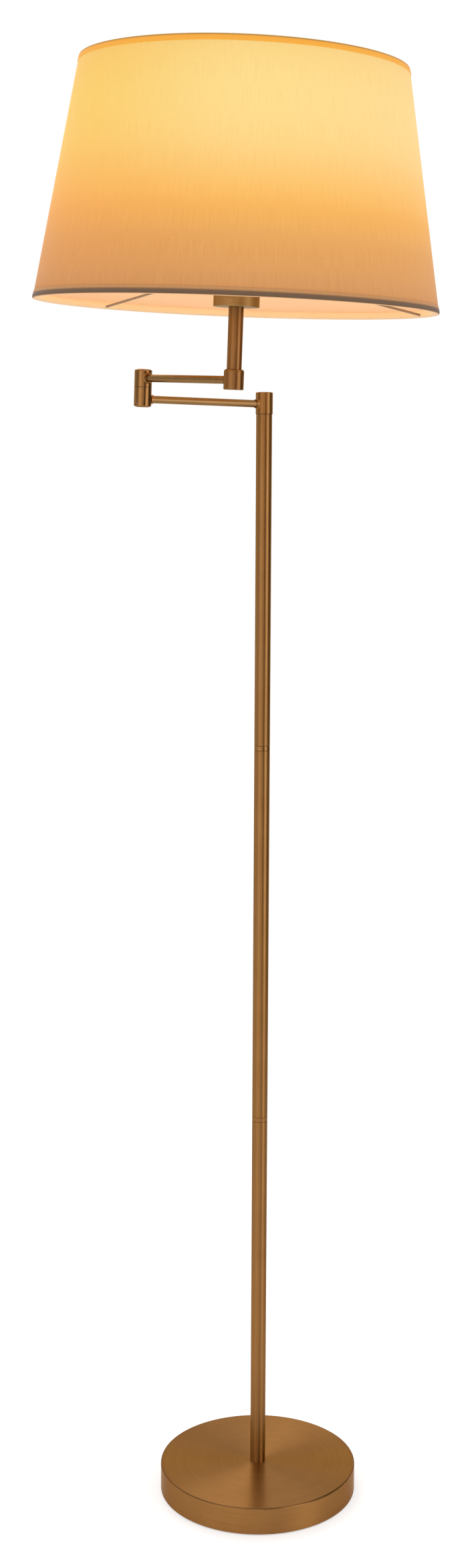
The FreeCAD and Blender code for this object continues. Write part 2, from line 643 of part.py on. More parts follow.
def build_upper_arm():
    """The elbow's upper sleeve and pivot, the upper arm's tube, and the stem with its collar."""
    low = size("elbow_seam") + size("flange_height") + size("running_gap")
    axis_height = size("elbow_gap") - low
    height = axis_height + size("upper_above")
    sleeve = arm_sleeve("elbow_upper_sleeve", size("sleeve_radius"), size("sleeve_bore"),
                        height, axis_height, forward=True)
    keep(sleeve, "elbow_upper_sleeve", head_frame, z=low.value)
    around = size("sleeve_radius")
    depth = size("cap_depth")
    top = depth + size("elbow_lip")
    cap = turned("elbow_cap", [
        (ZERO, ZERO), (size("sleeve_bore"), ZERO), (size("sleeve_bore"), depth), (around, depth),
        (around, top - size("dome_rise")), (around - size("dome_side"), top), (ZERO, top)])
    round_dome(cap, around, top, top - size("dome_rise"))
    keep(cap, "elbow_cap", head_frame, z=(low + height - size("cap_depth")).value)

    shaft = (size("elbow_bush_length") + size("flange_height") + size("running_gap") * 2.0
             + size("spring_height") + size("thin_nut"))
    pivot = pivot_pin("elbow_pivot", shaft, size("elbow_pivot_head"))
    keep(pivot, "elbow_pivot", head_frame, z=(low - shaft).value)
    bush_low = size("elbow_seam") - size("elbow_bush_length")
    pivot_ring("elbow_pivot", head_frame, bush_low - size("running_gap"))

    arm_tube("upper_arm", size("sleeve_bore"), size("stem_radius"), head_frame,
             size("elbow_gap").value)

    reach = size("arm_reach").value
    line = size("elbow_gap")
    below = size("stem_below")
    collar_height = below + size("stem_above")
    collar = arm_sleeve("stem_collar", size("stem_collar_radius"), size("stem_radius"),
                        collar_height, below, forward=False, floor=size("stem_floor"),
                        rounds=((collar_height, size("stem_shoulder")),
                                (ZERO, size("collar_round"))))
    keep(collar, "stem_collar", head_frame, x=reach, z=(line - below).value)

    stem_low = size("stem_above") - size("stem_seat")
    stem_length = size("cup_base") - stem_low
    stem = tube("stem_tube", size("stem_radius"), size("stem_bore"), stem_length)
    keep(stem, "stem_tube", head_frame, x=reach, z=(line + stem_low).value)
    bush = tube("stem_bush", size("stem_bore"), size("nipple_radius"), size("stem_bush_length"))
    keep(bush, "stem_bush", head_frame, x=reach,
         z=(line + size("cup_base") - size("stem_bush_length")).value)


# Lampholder and bulb

def build_lampholder():
    """Socket cup, nipple, the lampholder's pieces and the bulb, on the stem's axis."""
    reach = size("arm_reach").value
    cup_low = size("elbow_gap") + size("cup_base")
    outside = size("cup_radius")
    wall = size("cup_wall")
    rim = size("cup_height")
    hole = size("nipple_radius")

    def seat(thing, name, height):
        return keep(thing, name, head_frame, x=reach, z=(cup_low + height).value)

    cup = turned("socket_cup", [
        (hole, ZERO), (outside, ZERO), (outside, rim), (outside - wall, rim),
        (outside - wall, wall), (hole, wall)])
    round_rims(cup, outside, [ZERO], size("cup_edge"))
    seat(cup, "socket_cup", ZERO)
    nipple = tube("holder_nipple", hole, size("nipple_bore"),
                  size("holder_nipple_low") + size("holder_nipple_high"))
    seat(nipple, "holder_nipple", ZERO - size("holder_nipple_low"))

    shell = size("holder_wall")
    base_radius = size("holder_radius")
    base_height = size("holder_base_height")
    base = turned("lampholder_base", [
        (hole, ZERO), (base_radius, ZERO), (base_radius, base_height),
        (base_radius - shell, base_height), (base_radius - shell, shell * 2.0),
        (hole, shell * 2.0)])
    round_rims(base, base_radius, [ZERO], shell)
    seat(base, "lampholder_base", wall)

    skirt_low = wall + base_height
    flange_low = rim - skirt_low
    flange_top = flange_low + size("holder_flange")
    skirt_top = flange_top + size("skirt_height")
    skirt = turned("lampholder_skirt", [
        (size("holder_bore"), ZERO), (base_radius, ZERO), (base_radius, flange_low),
        (outside, flange_low), (outside, flange_top), (base_radius, flange_top),
        (base_radius, skirt_top), (size("holder_bore"), skirt_top)])
    seat(skirt, "lampholder_skirt", skirt_low)

    core_low = skirt_low - size("core_height")
    core = doc.addObject("Part::Cylinder", "lampholder_core")
    bind(core, "Radius", base_radius - shell)
    bind(core, "Height", size("core_height"))
    seat(core, "lampholder_core", core_low)
    strip = doc.addObject("Part::Cylinder", "lampholder_contact")
    bind(strip, "Radius", size("strip_radius"))
    bind(strip, "Height", size("strip_height"))
    seat(strip, "lampholder_contact", skirt_low)
    shell_ring = tube("lampholder_thread", size("shell_radius"), size("cap_radius"),
                      size("shell_height"))
    seat(shell_ring, "lampholder_thread", skirt_low)

    tip_low = skirt_low + size("strip_height")
    tip = doc.addObject("Part::Cylinder", "bulb_contact")
    bind(tip, "Radius", size("contact_radius"))
    bind(tip, "Height", size("contact_height"))
    seat(tip, "bulb_contact", tip_low)
    cap_low = tip_low + size("contact_height")
    cap_height = size("bulb_cap_height")
    cap_radius = size("cap_radius")
    glass = size("bulb_wall")
    cap = turned("bulb_cap", [
        (ZERO, ZERO), (cap_radius, ZERO), (cap_radius, cap_height),
        (cap_radius - glass, cap_height), (cap_radius - glass, glass), (ZERO, glass)])
    seat(cap, "bulb_cap", cap_low)
    seat(bulb_glass(), "bulb_globe", cap_low + cap_height)

    hub_low = rim + size("holder_flange")
    nut = tube("shade_ring_nut", size("ring_nut_radius"), base_radius, size("ring_nut_height"))
    bevel_rims(nut, size("ring_nut_radius"), [ZERO, size("ring_nut_height")],
               size("joint_chamfer"))
    seat(nut, "shade_ring_nut", hub_low + size("hub_height"))


def bulb_form(name, neck, ball, rise):
    """A cone from the neck that runs on smoothly into a ball, as one solid."""
    slant = math.hypot(neck, rise)
    run = math.sqrt(slant ** 2 - ball ** 2)
    angle = math.atan2(rise, -neck) - math.asin(ball / slant)
    cone = doc.addObject("Part::Cone", name + "_neck")
    cone.Radius1 = neck
    cone.Radius2 = neck + run * math.cos(angle)
    cone.Height = run * math.sin(angle)
    globe = doc.addObject("Part::Sphere", name + "_ball")
    globe.Radius = ball
    globe.Placement.Base = FreeCAD.Vector(0, 0, rise)
    form = doc.addObject("Part::Fuse", name)
    form.Base = cone
    form.Tool = globe
    return form


def bulb_glass():
    """The bulb's envelope: an outer form less the same form one glass thickness smaller."""
    neck = size("cap_radius").value
    ball = size("bulb_radius").value
    rise = size("bulb_rise").value
    glass = size("bulb_wall").value
    envelope = doc.addObject("Part::Cut", "bulb_globe")
    envelope.Base = bulb_form("bulb_outside", neck, ball, rise)
    envelope.Tool = bulb_form("bulb_inside", neck - glass, ball - glass, rise)
    return envelope


# Shade

def cone_radius(height, inset):
    """Radius of the shade's slanting wall at a height, less an inset."""
    slope = (size("shade_bottom").value - size("shade_top").value) / size("shade_height").value
    return size("shade_bottom") - height * slope - inset


def build_shade():
    """Fabric, lining, edge tapes, two wire rings and the spider that carries them."""
    reach = size("arm_reach").value
    shade_low = size("elbow_gap") + size("shade_base")
    top = size("shade_height")
    fabric = size("fabric")
    both = fabric + size("lining")

    def hang(thing, name, height=ZERO):
        return keep(thing, name, head_frame, x=reach, z=(shade_low + height).value)

    hang(turned("shade_fabric", [
        (cone_radius(ZERO, fabric), ZERO), (cone_radius(ZERO, ZERO), ZERO),
        (cone_radius(top, ZERO), top), (cone_radius(top, fabric), top)]), "shade_fabric")
    hang(turned("shade_lining", [
        (cone_radius(ZERO, both), ZERO), (cone_radius(ZERO, fabric), ZERO),
        (cone_radius(top, fabric), top), (cone_radius(top, both), top)]), "shade_lining")

    tape = size("trim")
    fold = size("trim_fold")
    bottom_leg = size("trim_bottom")
    out = ZERO - tape
    base_line = tape
    floor_inner = ring_inside(size("wire_bottom"), ZERO)
    hang(turned("shade_bottom_tape", [
        (floor_inner, ZERO), (cone_radius(ZERO, out), ZERO),
        (cone_radius(bottom_leg, out), bottom_leg + base_line),
        (cone_radius(bottom_leg, ZERO), bottom_leg + base_line),
        (cone_radius(ZERO, ZERO), base_line), (floor_inner, base_line)]),
        "shade_bottom_tape", ZERO - tape)

    top_leg = size("trim_top")
    roof_inner = ring_inside(size("wire_top"), top - size("wire_top") * 2.0)
    low = top - top_leg
    inner_low = top - fold
    hang(turned("shade_top_tape", [
        (cone_radius(low, ZERO), low), (cone_radius(low, out), low),
        (cone_radius(top, out), top), (cone_radius(top, out), top + tape),
        (roof_inner - tape, top + tape), (roof_inner - tape, inner_low),
        (roof_inner, inner_low), (roof_inner, top),
        (cone_radius(top, ZERO), top)]), "shade_top_tape")

    for name, wire, height in (("shade_bottom_ring", size("wire_bottom"), size("wire_bottom")),
                               ("shade_top_ring", size("wire_top"), top - size("wire_top"))):
        ring = doc.addObject("Part::Torus", name)
        bind(ring, "Radius1", ring_line(height, wire))
        bind(ring, "Radius2", wire)
        hang(ring, name, height)

    hang(spider(), "shade_spider")


def ring_line(height, wire):
    """Centre line of a wire ring that just clears the lining above and below its own height."""
    clear = size("fabric") + size("lining") + size("running_gap")
    return cone_radius(height + wire, clear) - wire


def ring_inside(wire, low):
    """Innermost radius of a wire ring that stands on a height, less a small clearance."""
    return ring_line(low + wire, wire) - wire - size("running_gap")


def spider():
    """A centre ring and straight spokes that rise to it from the lower wire ring."""
    hub_low = size("cup_base") + size("cup_height") + size("holder_flange") - size("shade_base")
    blank = doc.addObject("Part::Cylinder", "spider_blank")
    bind(blank, "Radius", size("hub_radius"))
    bind(blank, "Height", size("hub_height"))
    opening = doc.addObject("Part::Cylinder", "spider_opening")
    bind(opening, "Radius", size("holder_radius"))
    bind(opening, "Height", size("hub_height"))
    hub = doc.addObject("Part::Cut", "spider_hub")
    hub.Base = blank
    hub.Tool = opening
    hub.Placement.Base = FreeCAD.Vector(0, 0, hub_low.value)

    wire = size("wire_bottom")
    foot_radius = (ring_line(wire, wire) - wire).value
    foot_height = wire.value
    head_radius = (size("hub_radius") - size("spoke_weld")).value
    head_height = hub_low.value + size("hub_height").value / 2.0
    pieces = [hub]
    for index in range(SPOKES):
        angle = math.radians(size("spoke_first").value + index * FULL_TURN / SPOKES)
        outward = FreeCAD.Vector(math.cos(angle), math.sin(angle), 0.0)
        foot = outward * foot_radius + FreeCAD.Vector(0, 0, foot_height)
        head = outward * head_radius + FreeCAD.Vector(0, 0, head_height)
        spoke = doc.addObject("Part::Cylinder", f"spider_spoke_{index + 1}")
        bind(spoke, "Radius", size("spoke_radius"))
        spoke.Height = (head - foot).Length
        along = FreeCAD.Rotation(FreeCAD.Vector(0, 0, 1), head - foot)
        spoke.Placement = FreeCAD.Placement(foot, along)
        pieces.append(spoke)
    joined = doc.addObject("Part::MultiFuse", "shade_spider")
    joined.Shapes = pieces
    return joined


def check_model():
    """Stop when any object failed or any sub-part has no sound shape."""
    for thing in doc.Objects:
        if "Invalid" in thing.State or "Error" in thing.State:
            raise RuntimeError(f"{thing.Name} is {thing.State}")
    for name, thing in nodes.items():
        if thing.Shape.isNull() or not thing.Shape.isValid():
            raise RuntimeError(f"{name} has no valid shape")


def write_parts():
    """Write each sub-part to a file of its own."""
    os.makedirs("parts", exist_ok=True)
    for name, thing in nodes.items():
        thing.Shape.exportStep(f"parts/{name}.step")
        print(f"{name}: {len(thing.Shape.Solids)} solid, {thing.Shape.Volume / 1000.0:.2f} cm3")


build_base()
build_pole()
build_lower_arm()
build_upper_arm()
build_lampholder()
build_shade()
doc.recompute()
check_model()
write_parts()
print(len(nodes), "pieces")
print("elbow", lower_frame.Base, "axis", lower_frame.Rotation.multVec(FreeCAD.Vector(0, 0, 1)))
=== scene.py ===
# %% [markdown]
# # A bridge floor lamp, dressed for its picture
#
# The lamp comes in as a frame of 51 separate solids, each in its real place: a weighted base, a pole
# in three tubes, a two-part swing arm, and a shade on a wire spider. This script gives every solid a
# finish. It also makes five pieces again in finer form: the shade's cloth, the stiff lining behind it,
# the folded tape on each of the two wire rings, and the ribbed ring nut. Nothing that moves is moved
# here. Each new piece rides on the solid body that carries it.

import math

import bmesh
import bpy
from mathutils import Matrix, Vector, noise


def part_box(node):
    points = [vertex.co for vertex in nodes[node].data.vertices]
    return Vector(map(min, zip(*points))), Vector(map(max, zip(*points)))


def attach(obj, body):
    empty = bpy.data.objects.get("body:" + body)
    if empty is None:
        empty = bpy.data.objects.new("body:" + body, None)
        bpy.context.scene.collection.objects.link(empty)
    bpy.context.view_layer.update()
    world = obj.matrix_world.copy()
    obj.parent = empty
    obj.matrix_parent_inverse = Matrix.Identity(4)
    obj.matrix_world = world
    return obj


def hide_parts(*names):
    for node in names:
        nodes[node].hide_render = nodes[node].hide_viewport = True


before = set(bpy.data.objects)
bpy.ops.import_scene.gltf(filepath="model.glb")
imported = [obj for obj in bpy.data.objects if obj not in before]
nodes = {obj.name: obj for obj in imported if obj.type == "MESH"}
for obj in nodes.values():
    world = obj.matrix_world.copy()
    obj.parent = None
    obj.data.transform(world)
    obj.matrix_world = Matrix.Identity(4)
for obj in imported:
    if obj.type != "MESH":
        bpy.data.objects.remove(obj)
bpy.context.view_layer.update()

# %% [markdown]
# ## The camera
#
# The photograph was taken from a little below the shade and close enough that the base is seen from
# well above. A camera for such a picture is found by hand or by fitting known points. Here it was
# fitted to the lamp's outlines, and it is kept as a few plain facts: where it stands, how far it looks
# down and rolls, how long its lens is, and how much of the frame was cropped away on one side. The
# crop is a small sideways shift of the lens, so that upright lines stay where they are.

# %% Camera
PHOTO_WIDE = 706
PHOTO_TALL = 2343
SENSOR = 36.0
FOCAL_PIXELS = 2881.0
CENTRE_PIXEL = 391.7
CAMERA_BACK = 2.4428
CAMERA_HEIGHT = 1.2974
LOOKS_DOWN = 0.1395
CAMERA_ROLL = 0.0063

camera_data = bpy.data.cameras.new("photo_camera")
camera_data.sensor_width = SENSOR
camera_data.lens = FOCAL_PIXELS * SENSOR / PHOTO_TALL
camera_data.shift_x = (PHOTO_WIDE / 2 - CENTRE_PIXEL) / PHOTO_TALL
camera = bpy.data.objects.new("photo_camera", camera_data)
camera.matrix_world = (
    Matrix.Translation((0.0, -CAMERA_BACK, CAMERA_HEIGHT))
    @ Matrix.Rotation(math.pi / 2 - LOOKS_DOWN, 4, "X")
    @ Matrix.Rotation(CAMERA_ROLL, 4, "Z")
)
bpy.context.scene.collection.objects.link(camera)
bpy.context.scene.camera = camera
print("lens:", round(camera_data.lens, 2), "mm")

# %% [markdown]
# ## Where the pieces sit
#
# The loaded arm sags a little, so the shade leans, and anything made for it has to lean with it. The
# two wire rings of the shade say how: the line through their centres is the shade's axis. New pieces
# are made upright round a plain Z axis and then carried into this leaning frame, with the move kept
# in their mesh.

# %% Frames of the shade and the pole
BOTTOM_WIRE = 0.0022
TOP_WIRE = 0.0016
END_SHARE = 0.01
BACK = Vector((0.0, 1.0, 0.0))


def middle(node):
    """Centre of a solid's box."""
    low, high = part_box(node)
    return (low + high) / 2


def frame_on(origin, axis):
    """A frame that stands on origin, with Z along axis and Y as near to the back as it can be."""
    up = axis.normalized()
    side = BACK.cross(up).normalized()
    rear = up.cross(side)
    turn = Matrix((side, rear, up)).transposed().to_4x4()
    return Matrix.Translation(origin) @ turn


bottom_centre = middle("shade_bottom_ring")
top_centre = middle("shade_top_ring")
shade_axis = (top_centre - bottom_centre).normalized()
shade_foot = bottom_centre - shade_axis * BOTTOM_WIRE
shade_frame = frame_on(shade_foot, shade_axis)
shade_height = (top_centre - bottom_centre).length + BOTTOM_WIRE + TOP_WIRE
pole_frame = frame_on(Vector((0.0, 0.0, 0.0)), Vector((0.0, 0.0, 1.0)))


def outline_points(node):
    """(radius, height) of a solid's points, measured from the shade's axis and lower edge."""
    inward = shade_frame.inverted()
    points = [inward @ vert.co for vert in nodes[node].data.vertices]
    return [(math.hypot(point.x, point.y), point.z) for point in points]


def radius_near(node, share):
    """Largest radius of a solid at one end of the shade."""
    return max(radius for radius, height in outline_points(node)
               if abs(height / shade_height - share) < END_SHARE)


low_radius = radius_near("shade_fabric", 0.0)
high_radius = radius_near("shade_fabric", 1.0)
print("shade:", round(low_radius, 4), round(high_radius, 4), round(shade_height, 4))

# %% [markdown]
# ## Writing shader maths
#
# A procedural finish is mostly arithmetic on positions, and that is hard to read as a list of nodes.
# The usual way is to wire the nodes one by one. This script wraps a socket in a small class instead,
# so that a sum in Python adds its own Math nodes, and every other node comes from one method.


# %% A socket that can be used in sums
class Wire:
    """A number that flows between shader nodes."""

    def __init__(self, paint, socket):
        self.paint = paint
        self.socket = socket

    def math(self, operation, *values):
        return self.paint.node("ShaderNodeMath", {"operation": operation}, dict(enumerate(values)))

    def __add__(self, other):
        return self.math("ADD", self, other)

    def __sub__(self, other):
        return self.math("SUBTRACT", self, other)

    def __mul__(self, other):
        return self.math("MULTIPLY", self, other)

    def __truediv__(self, other):
        return self.math("DIVIDE", self, other)

    def root(self):
        return self.math("SQRT", self)

    def sine(self):
        return self.math("SINE", self)

    def step(self, low, high):
        """0 below low, 1 above high, and a smooth rise between them."""
        return self.paint.node(
            "ShaderNodeMapRange", {"interpolation_type": "SMOOTHSTEP"},
            {"Value": self, "From Min": low, "From Max": high})


print("sockets can be added up")

# %% A material that is being painted
class Paint:
    """A new material, with one method that adds any node and one that fills the surface."""

    def __init__(self, name):
        self.material = bpy.data.materials.new(name)
        self.material.use_nodes = True
        self.tree = self.material.node_tree
        self.tree.nodes.clear()

    def node(self, kind, settings=None, inputs=None, output=0):
        """Add a node: its settings first, then the values or links of its sockets."""
        made = self.tree.nodes.new(kind)
        for key, value in (settings or {}).items():
            if key == "stops":
                self.set_stops(made.color_ramp, value)
            elif key == "interpolation":
                made.color_ramp.interpolation = value
            else:
                setattr(made, key, value)
        for key, value in (inputs or {}).items():
            if isinstance(value, Wire):
                self.tree.links.new(value.socket, made.inputs[key])
            else:
                made.inputs[key].default_value = value
        return Wire(self, made.outputs[output])

    @staticmethod
    def set_stops(ramp, stops):
        """Give a colour ramp its (place, colour) stops."""
        while len(ramp.elements) < len(stops):
            ramp.elements.new(1.0)
        for element, (place, colour) in zip(ramp.elements, stops):
            element.position = place
            element.color = (*colour, 1.0)

    def split(self, vector):
        """The three numbers of a vector."""
        x = self.node("ShaderNodeSeparateXYZ", None, {0: vector})
        sockets = x.socket.node.outputs
        return x, Wire(self, sockets[1]), Wire(self, sockets[2])

    def join(self, x, y, z):
        """A vector of three numbers."""
        return self.node("ShaderNodeCombineXYZ", None, {0: x, 1: y, 2: z})

    def place(self, home):
        """Object coordinates, measured in a leaning or shifted frame."""
        object_space = self.node("ShaderNodeTexCoord", output="Object")
        return self.node(
            "ShaderNodeMapping", {"vector_type": "TEXTURE"},
            {"Vector": object_space, "Location": home.to_translation(),
             "Rotation": home.to_euler()})

    def noise(self, vector, scale=1.0, detail=2.0, roughness=0.5):
        """Soft noise between 0 and 1."""
        return self.node("ShaderNodeTexNoise", None, {
            "Vector": vector, "Scale": scale, "Detail": detail, "Roughness": roughness})

    def mix(self, share, first, second):
        """A colour between two colours."""
        return self.node("ShaderNodeMix", {"data_type": "RGBA"},
                         {0: share, 6: self.rgba(first), 7: self.rgba(second)}, 2)

    @staticmethod
    def rgba(colour):
        """A colour with its alpha, or a link as it is."""
        return colour if isinstance(colour, Wire) else (*colour, 1.0)

    def times(self, first, second):
        """Two colours multiplied."""
        return self.node("ShaderNodeMix", {"data_type": "RGBA", "blend_type": "MULTIPLY"},
                         {0: 1.0, 6: first, 7: second}, 2)

    def bump(self, height, distance):
        """A normal that follows a height between 0 and 1, which stands for distance in metres."""
        return self.node("ShaderNodeBump", None,
                         {"Height": height, "Distance": distance, "Strength": 1.0})

    def surface(self, **sockets):
        """Finish with the Principled shader; socket names are written with underscores."""
        named = {key.replace("_", " ").title(): value for key, value in sockets.items()}
        shader = self.node("ShaderNodeBsdfPrincipled", None, named)
        self.node_out(shader)
        return self.material

    def node_out(self, shader):
        """Join a shader to the material's output."""
        made = self.tree.nodes.new("ShaderNodeOutputMaterial")
        self.tree.links.new(shader.socket, made.inputs["Surface"])


print("shader helpers are ready")

# %% [markdown]
# ## Brushed bronze
#
# The metal is brass-plated steel, toned brown, brushed with a fine abrasive and lacquered. Every
# turned piece spins against the abrasive, so a highlight spreads up and down a tube, and outwards on
# the base, and stays crisp round it. That is what gives the tubes their upright streaks and the base
# its two pale sectors. The tubes also keep faint lines along their length from drawing.
#
# A photo texture could hold such lines, but noise that is stretched along them does the same at any
# size. The shader's own anisotropy spreads the highlight, and the stretched noise varies the colour
# and the roughness, with a shallow bump. A slow patchy tone keeps long tubes from looking printed.

# %% Brushed bronze
BRONZE = (0.268, 0.122, 0.033)
BRONZE_DEEP = (0.215, 0.094, 0.023)
BRONZE_PALE = (0.320, 0.153, 0.046)
EDGE_TINT = (0.55, 0.40, 0.24, 1.0)
ALONG = 0.25
SCRATCH = 0.00045
SCRATCH_RUN = 0.035
SCRATCH_TURN = 1.5
SCRATCH_DEPTH = 0.000006
NEAR_AXIS = 0.001
PATCH = 0.05
LINE_CONTRAST = 1.5
PATCH_CONTRAST = 0.5
DEEP_TONES = (0.0, 0.55)
PALE_TONES = (0.45, 1.0)
GLOSS_SWING = 0.10
LACQUER = 0.25
LACQUER_ROUGHNESS = 0.25
AS_IT_IS = (1.0, 1.0, 1.0)
POLE_TONING = (1.07, 1.06, 1.0)
# The cup and the arms take paler, cooler copies of the bronze, which offset the orange glow that they
# mirror from the shade: painted light.
CUP_PAINTED_LIGHT_TONE = (1.20, 1.58, 2.1)
ARM_PAINTED_LIGHT_TONE = (0.94, 1.10, 1.40)
BASE_TONING = (1.07, 1.04, 0.94)
# Painted dark reflection: a thin dark line laid along the base's rounded upper edge.
PAINTED_RIM_WIDTH = 0.0018
PAINTED_RIM_COLOUR = (0.060, 0.026, 0.008)
PAINTED_RIM_STRENGTH = 0.6
base_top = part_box("base_cover")[1].z
base_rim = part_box("base_cover")[1].x


def scratches(paint, place, round_the_axis):
    """Noise drawn out along the brushing: along Z, or round Z."""
    x, y, z = paint.split(place)
    if round_the_axis:
        radius = (x * x + y * y).root()
        turn = x / (radius + NEAR_AXIS) * SCRATCH_TURN
        grain = paint.join(radius / SCRATCH, z / SCRATCH, turn)
    else:
        grain = paint.join(x / SCRATCH, y / SCRATCH, z / SCRATCH_RUN)
    return paint.noise(grain, detail=3.0, roughness=0.6)


def shaded(colour, tone):
    """A colour made paler or deeper, channel by channel."""
    return tuple(part * share for part, share in zip(colour, tone))


def painted_rim_mask(paint, place):
    """1 on the rounded upper edge of the base, else 0: the band of a painted dark reflection."""
    x, y, z = paint.split(place)
    out = ((x * x + y * y).root() + (PAINTED_RIM_WIDTH - base_rim)).step(0.0, PAINTED_RIM_WIDTH / 2)
    return out * (z + (PAINTED_RIM_WIDTH - base_top)).step(0.0, PAINTED_RIM_WIDTH / 2)


def brushed_bronze(name, home, round_the_axis, spread, roughness, tone_and_painted_light):
    """Lacquered brushed bronze; home is the frame whose Z axis the piece was turned on."""
    paint = Paint(name)
    place = paint.place(home)
    lines = scratches(paint, place, round_the_axis)
    patches = paint.noise(place, 1.0 / PATCH, 2.0)
    tone = (lines - 0.5) * LINE_CONTRAST + (patches - 0.5) * PATCH_CONTRAST + 0.5
    # Each piece's tone multiplies the bronze; for the cup and the arms it is painted light.
    deep = paint.mix(tone.step(*DEEP_TONES), shaded(BRONZE_DEEP, tone_and_painted_light), shaded(BRONZE, tone_and_painted_light))
    colour = paint.mix(tone.step(*PALE_TONES), deep, shaded(BRONZE_PALE, tone_and_painted_light))
    # Painted dark reflection along the base's rounded upper edge.
    if name == "bronze_base":
        colour = paint.mix(painted_rim_mask(paint, place) * PAINTED_RIM_STRENGTH, colour, PAINTED_RIM_COLOUR)
    return paint.surface(
        base_color=colour, metallic=1.0,
        roughness=lines * GLOSS_SWING + (roughness - GLOSS_SWING / 2),
        specular_tint=EDGE_TINT, anisotropic=spread, anisotropic_rotation=ALONG,
        coat_weight=LACQUER, coat_roughness=LACQUER_ROUGHNESS,
        normal=paint.bump(lines, SCRATCH_DEPTH))


elbow_centre = middle("elbow_bush")
arm_height = middle("lower_arm").z
lower_line = middle("lower_arm") - Vector((0.0, 0.0, arm_height))
upper_line = middle("upper_arm") - middle("stem_collar")
print("bronze:", BRONZE, "scratches", SCRATCH, "by", SCRATCH_RUN)

# %% Give the metal solids their finish
stem_frame = frame_on(middle("stem_tube"), shade_axis)
elbow_frame = frame_on(elbow_centre, shade_axis)
lower_frame = frame_on(middle("lower_arm"), lower_line)
upper_frame = frame_on(middle("upper_arm"), upper_line)

BRUSHED = (
    ("bronze_pole", pole_frame, False, 1.0, 0.33, POLE_TONING,
     ("pole_lower", "pole_middle", "pole_upper", "pole_collar")),
    ("bronze_turned_pole", pole_frame, True, 0.8, 0.26, AS_IT_IS,
     ("pole_coupler_lower", "pole_coupler_upper", "pole_collar_cap")),
    ("bronze_base", pole_frame, True, 0.9, 0.36, BASE_TONING, ("base_cover",)),
    ("bronze_elbow", elbow_frame, False, 0.8, 0.24, AS_IT_IS,
     ("elbow_lower_sleeve", "elbow_upper_sleeve")),
    ("bronze_turned_elbow", elbow_frame, True, 0.8, 0.26, AS_IT_IS,
     ("elbow_cap", "elbow_end_plug")),
    ("bronze_stem", stem_frame, False, 1.0, 0.36, AS_IT_IS, ("stem_tube", "stem_collar")),
    ("bronze_cup", stem_frame, True, 0.5, 0.42, CUP_PAINTED_LIGHT_TONE, ("socket_cup",)),
    ("bronze_lower_arm", lower_frame, False, 0.0, 0.28, ARM_PAINTED_LIGHT_TONE, ("lower_arm",)),
    ("bronze_upper_arm", upper_frame, False, 0.0, 0.28, ARM_PAINTED_LIGHT_TONE, ("upper_arm",)),
)


def dress(node, material):
    """Give a CAD solid its finish; only its material slots are touched."""
    slots = nodes[node].data.materials
    slots.clear()
    slots.append(material)


for title, home, round_the_axis, spread, roughness, tone_and_painted_light, members in BRUSHED:
    metal = brushed_bronze(title, home, round_the_axis, spread, roughness, tone_and_painted_light)
    for member in members:
        dress(member, metal)
print("bronze pieces:", sum(len(row[-1]) for row in BRUSHED))

# %% [markdown]
# ## The pieces inside
#
# Under the cover and inside the tubes are cast iron, zinc-plated steel, bare brass, black plastic
# and rubber. Few of them show in the picture, but each is seen when the lamp is turned over, moved
# or taken apart. The dark bushes of the hinges and the enamelled wires of the shade are made here too.
# One function makes all of these finishes, because they differ only in colour, grain and gloss.

# %% Plain finishes
IRON_GRAIN = 0.0012
RUBBER_GRAIN = 0.0006
MOULD_GRAIN = 0.0004
TURNING = 0.0003
BROADER = 0.05
FINE_SHARE = 0.6
BROAD_SHARE = 0.4
GRAIN_TONES = (0.3, 0.7)
GRAIN_SWING = 0.2
COAT_ROUGHNESS = 0.15


def grained(name, dark, light, grain, relief, roughness, metallic=0.0, coat=0.0):
    """A finish with fine grain, seen in its colour, its gloss and its relief."""
    paint = Paint(name)
    place = paint.place(pole_frame)
    fine = paint.noise(place, 1.0 / grain, 3.0)
    broad = paint.noise(place, BROADER / grain, 2.0)
    tone = (fine * FINE_SHARE + broad * BROAD_SHARE).step(*GRAIN_TONES)
    return paint.surface(
        base_color=paint.mix(tone, dark, light), metallic=metallic,
        roughness=fine * GRAIN_SWING + (roughness - GRAIN_SWING / 2),
        coat_weight=coat, coat_roughness=COAT_ROUGHNESS, normal=paint.bump(fine, relief))


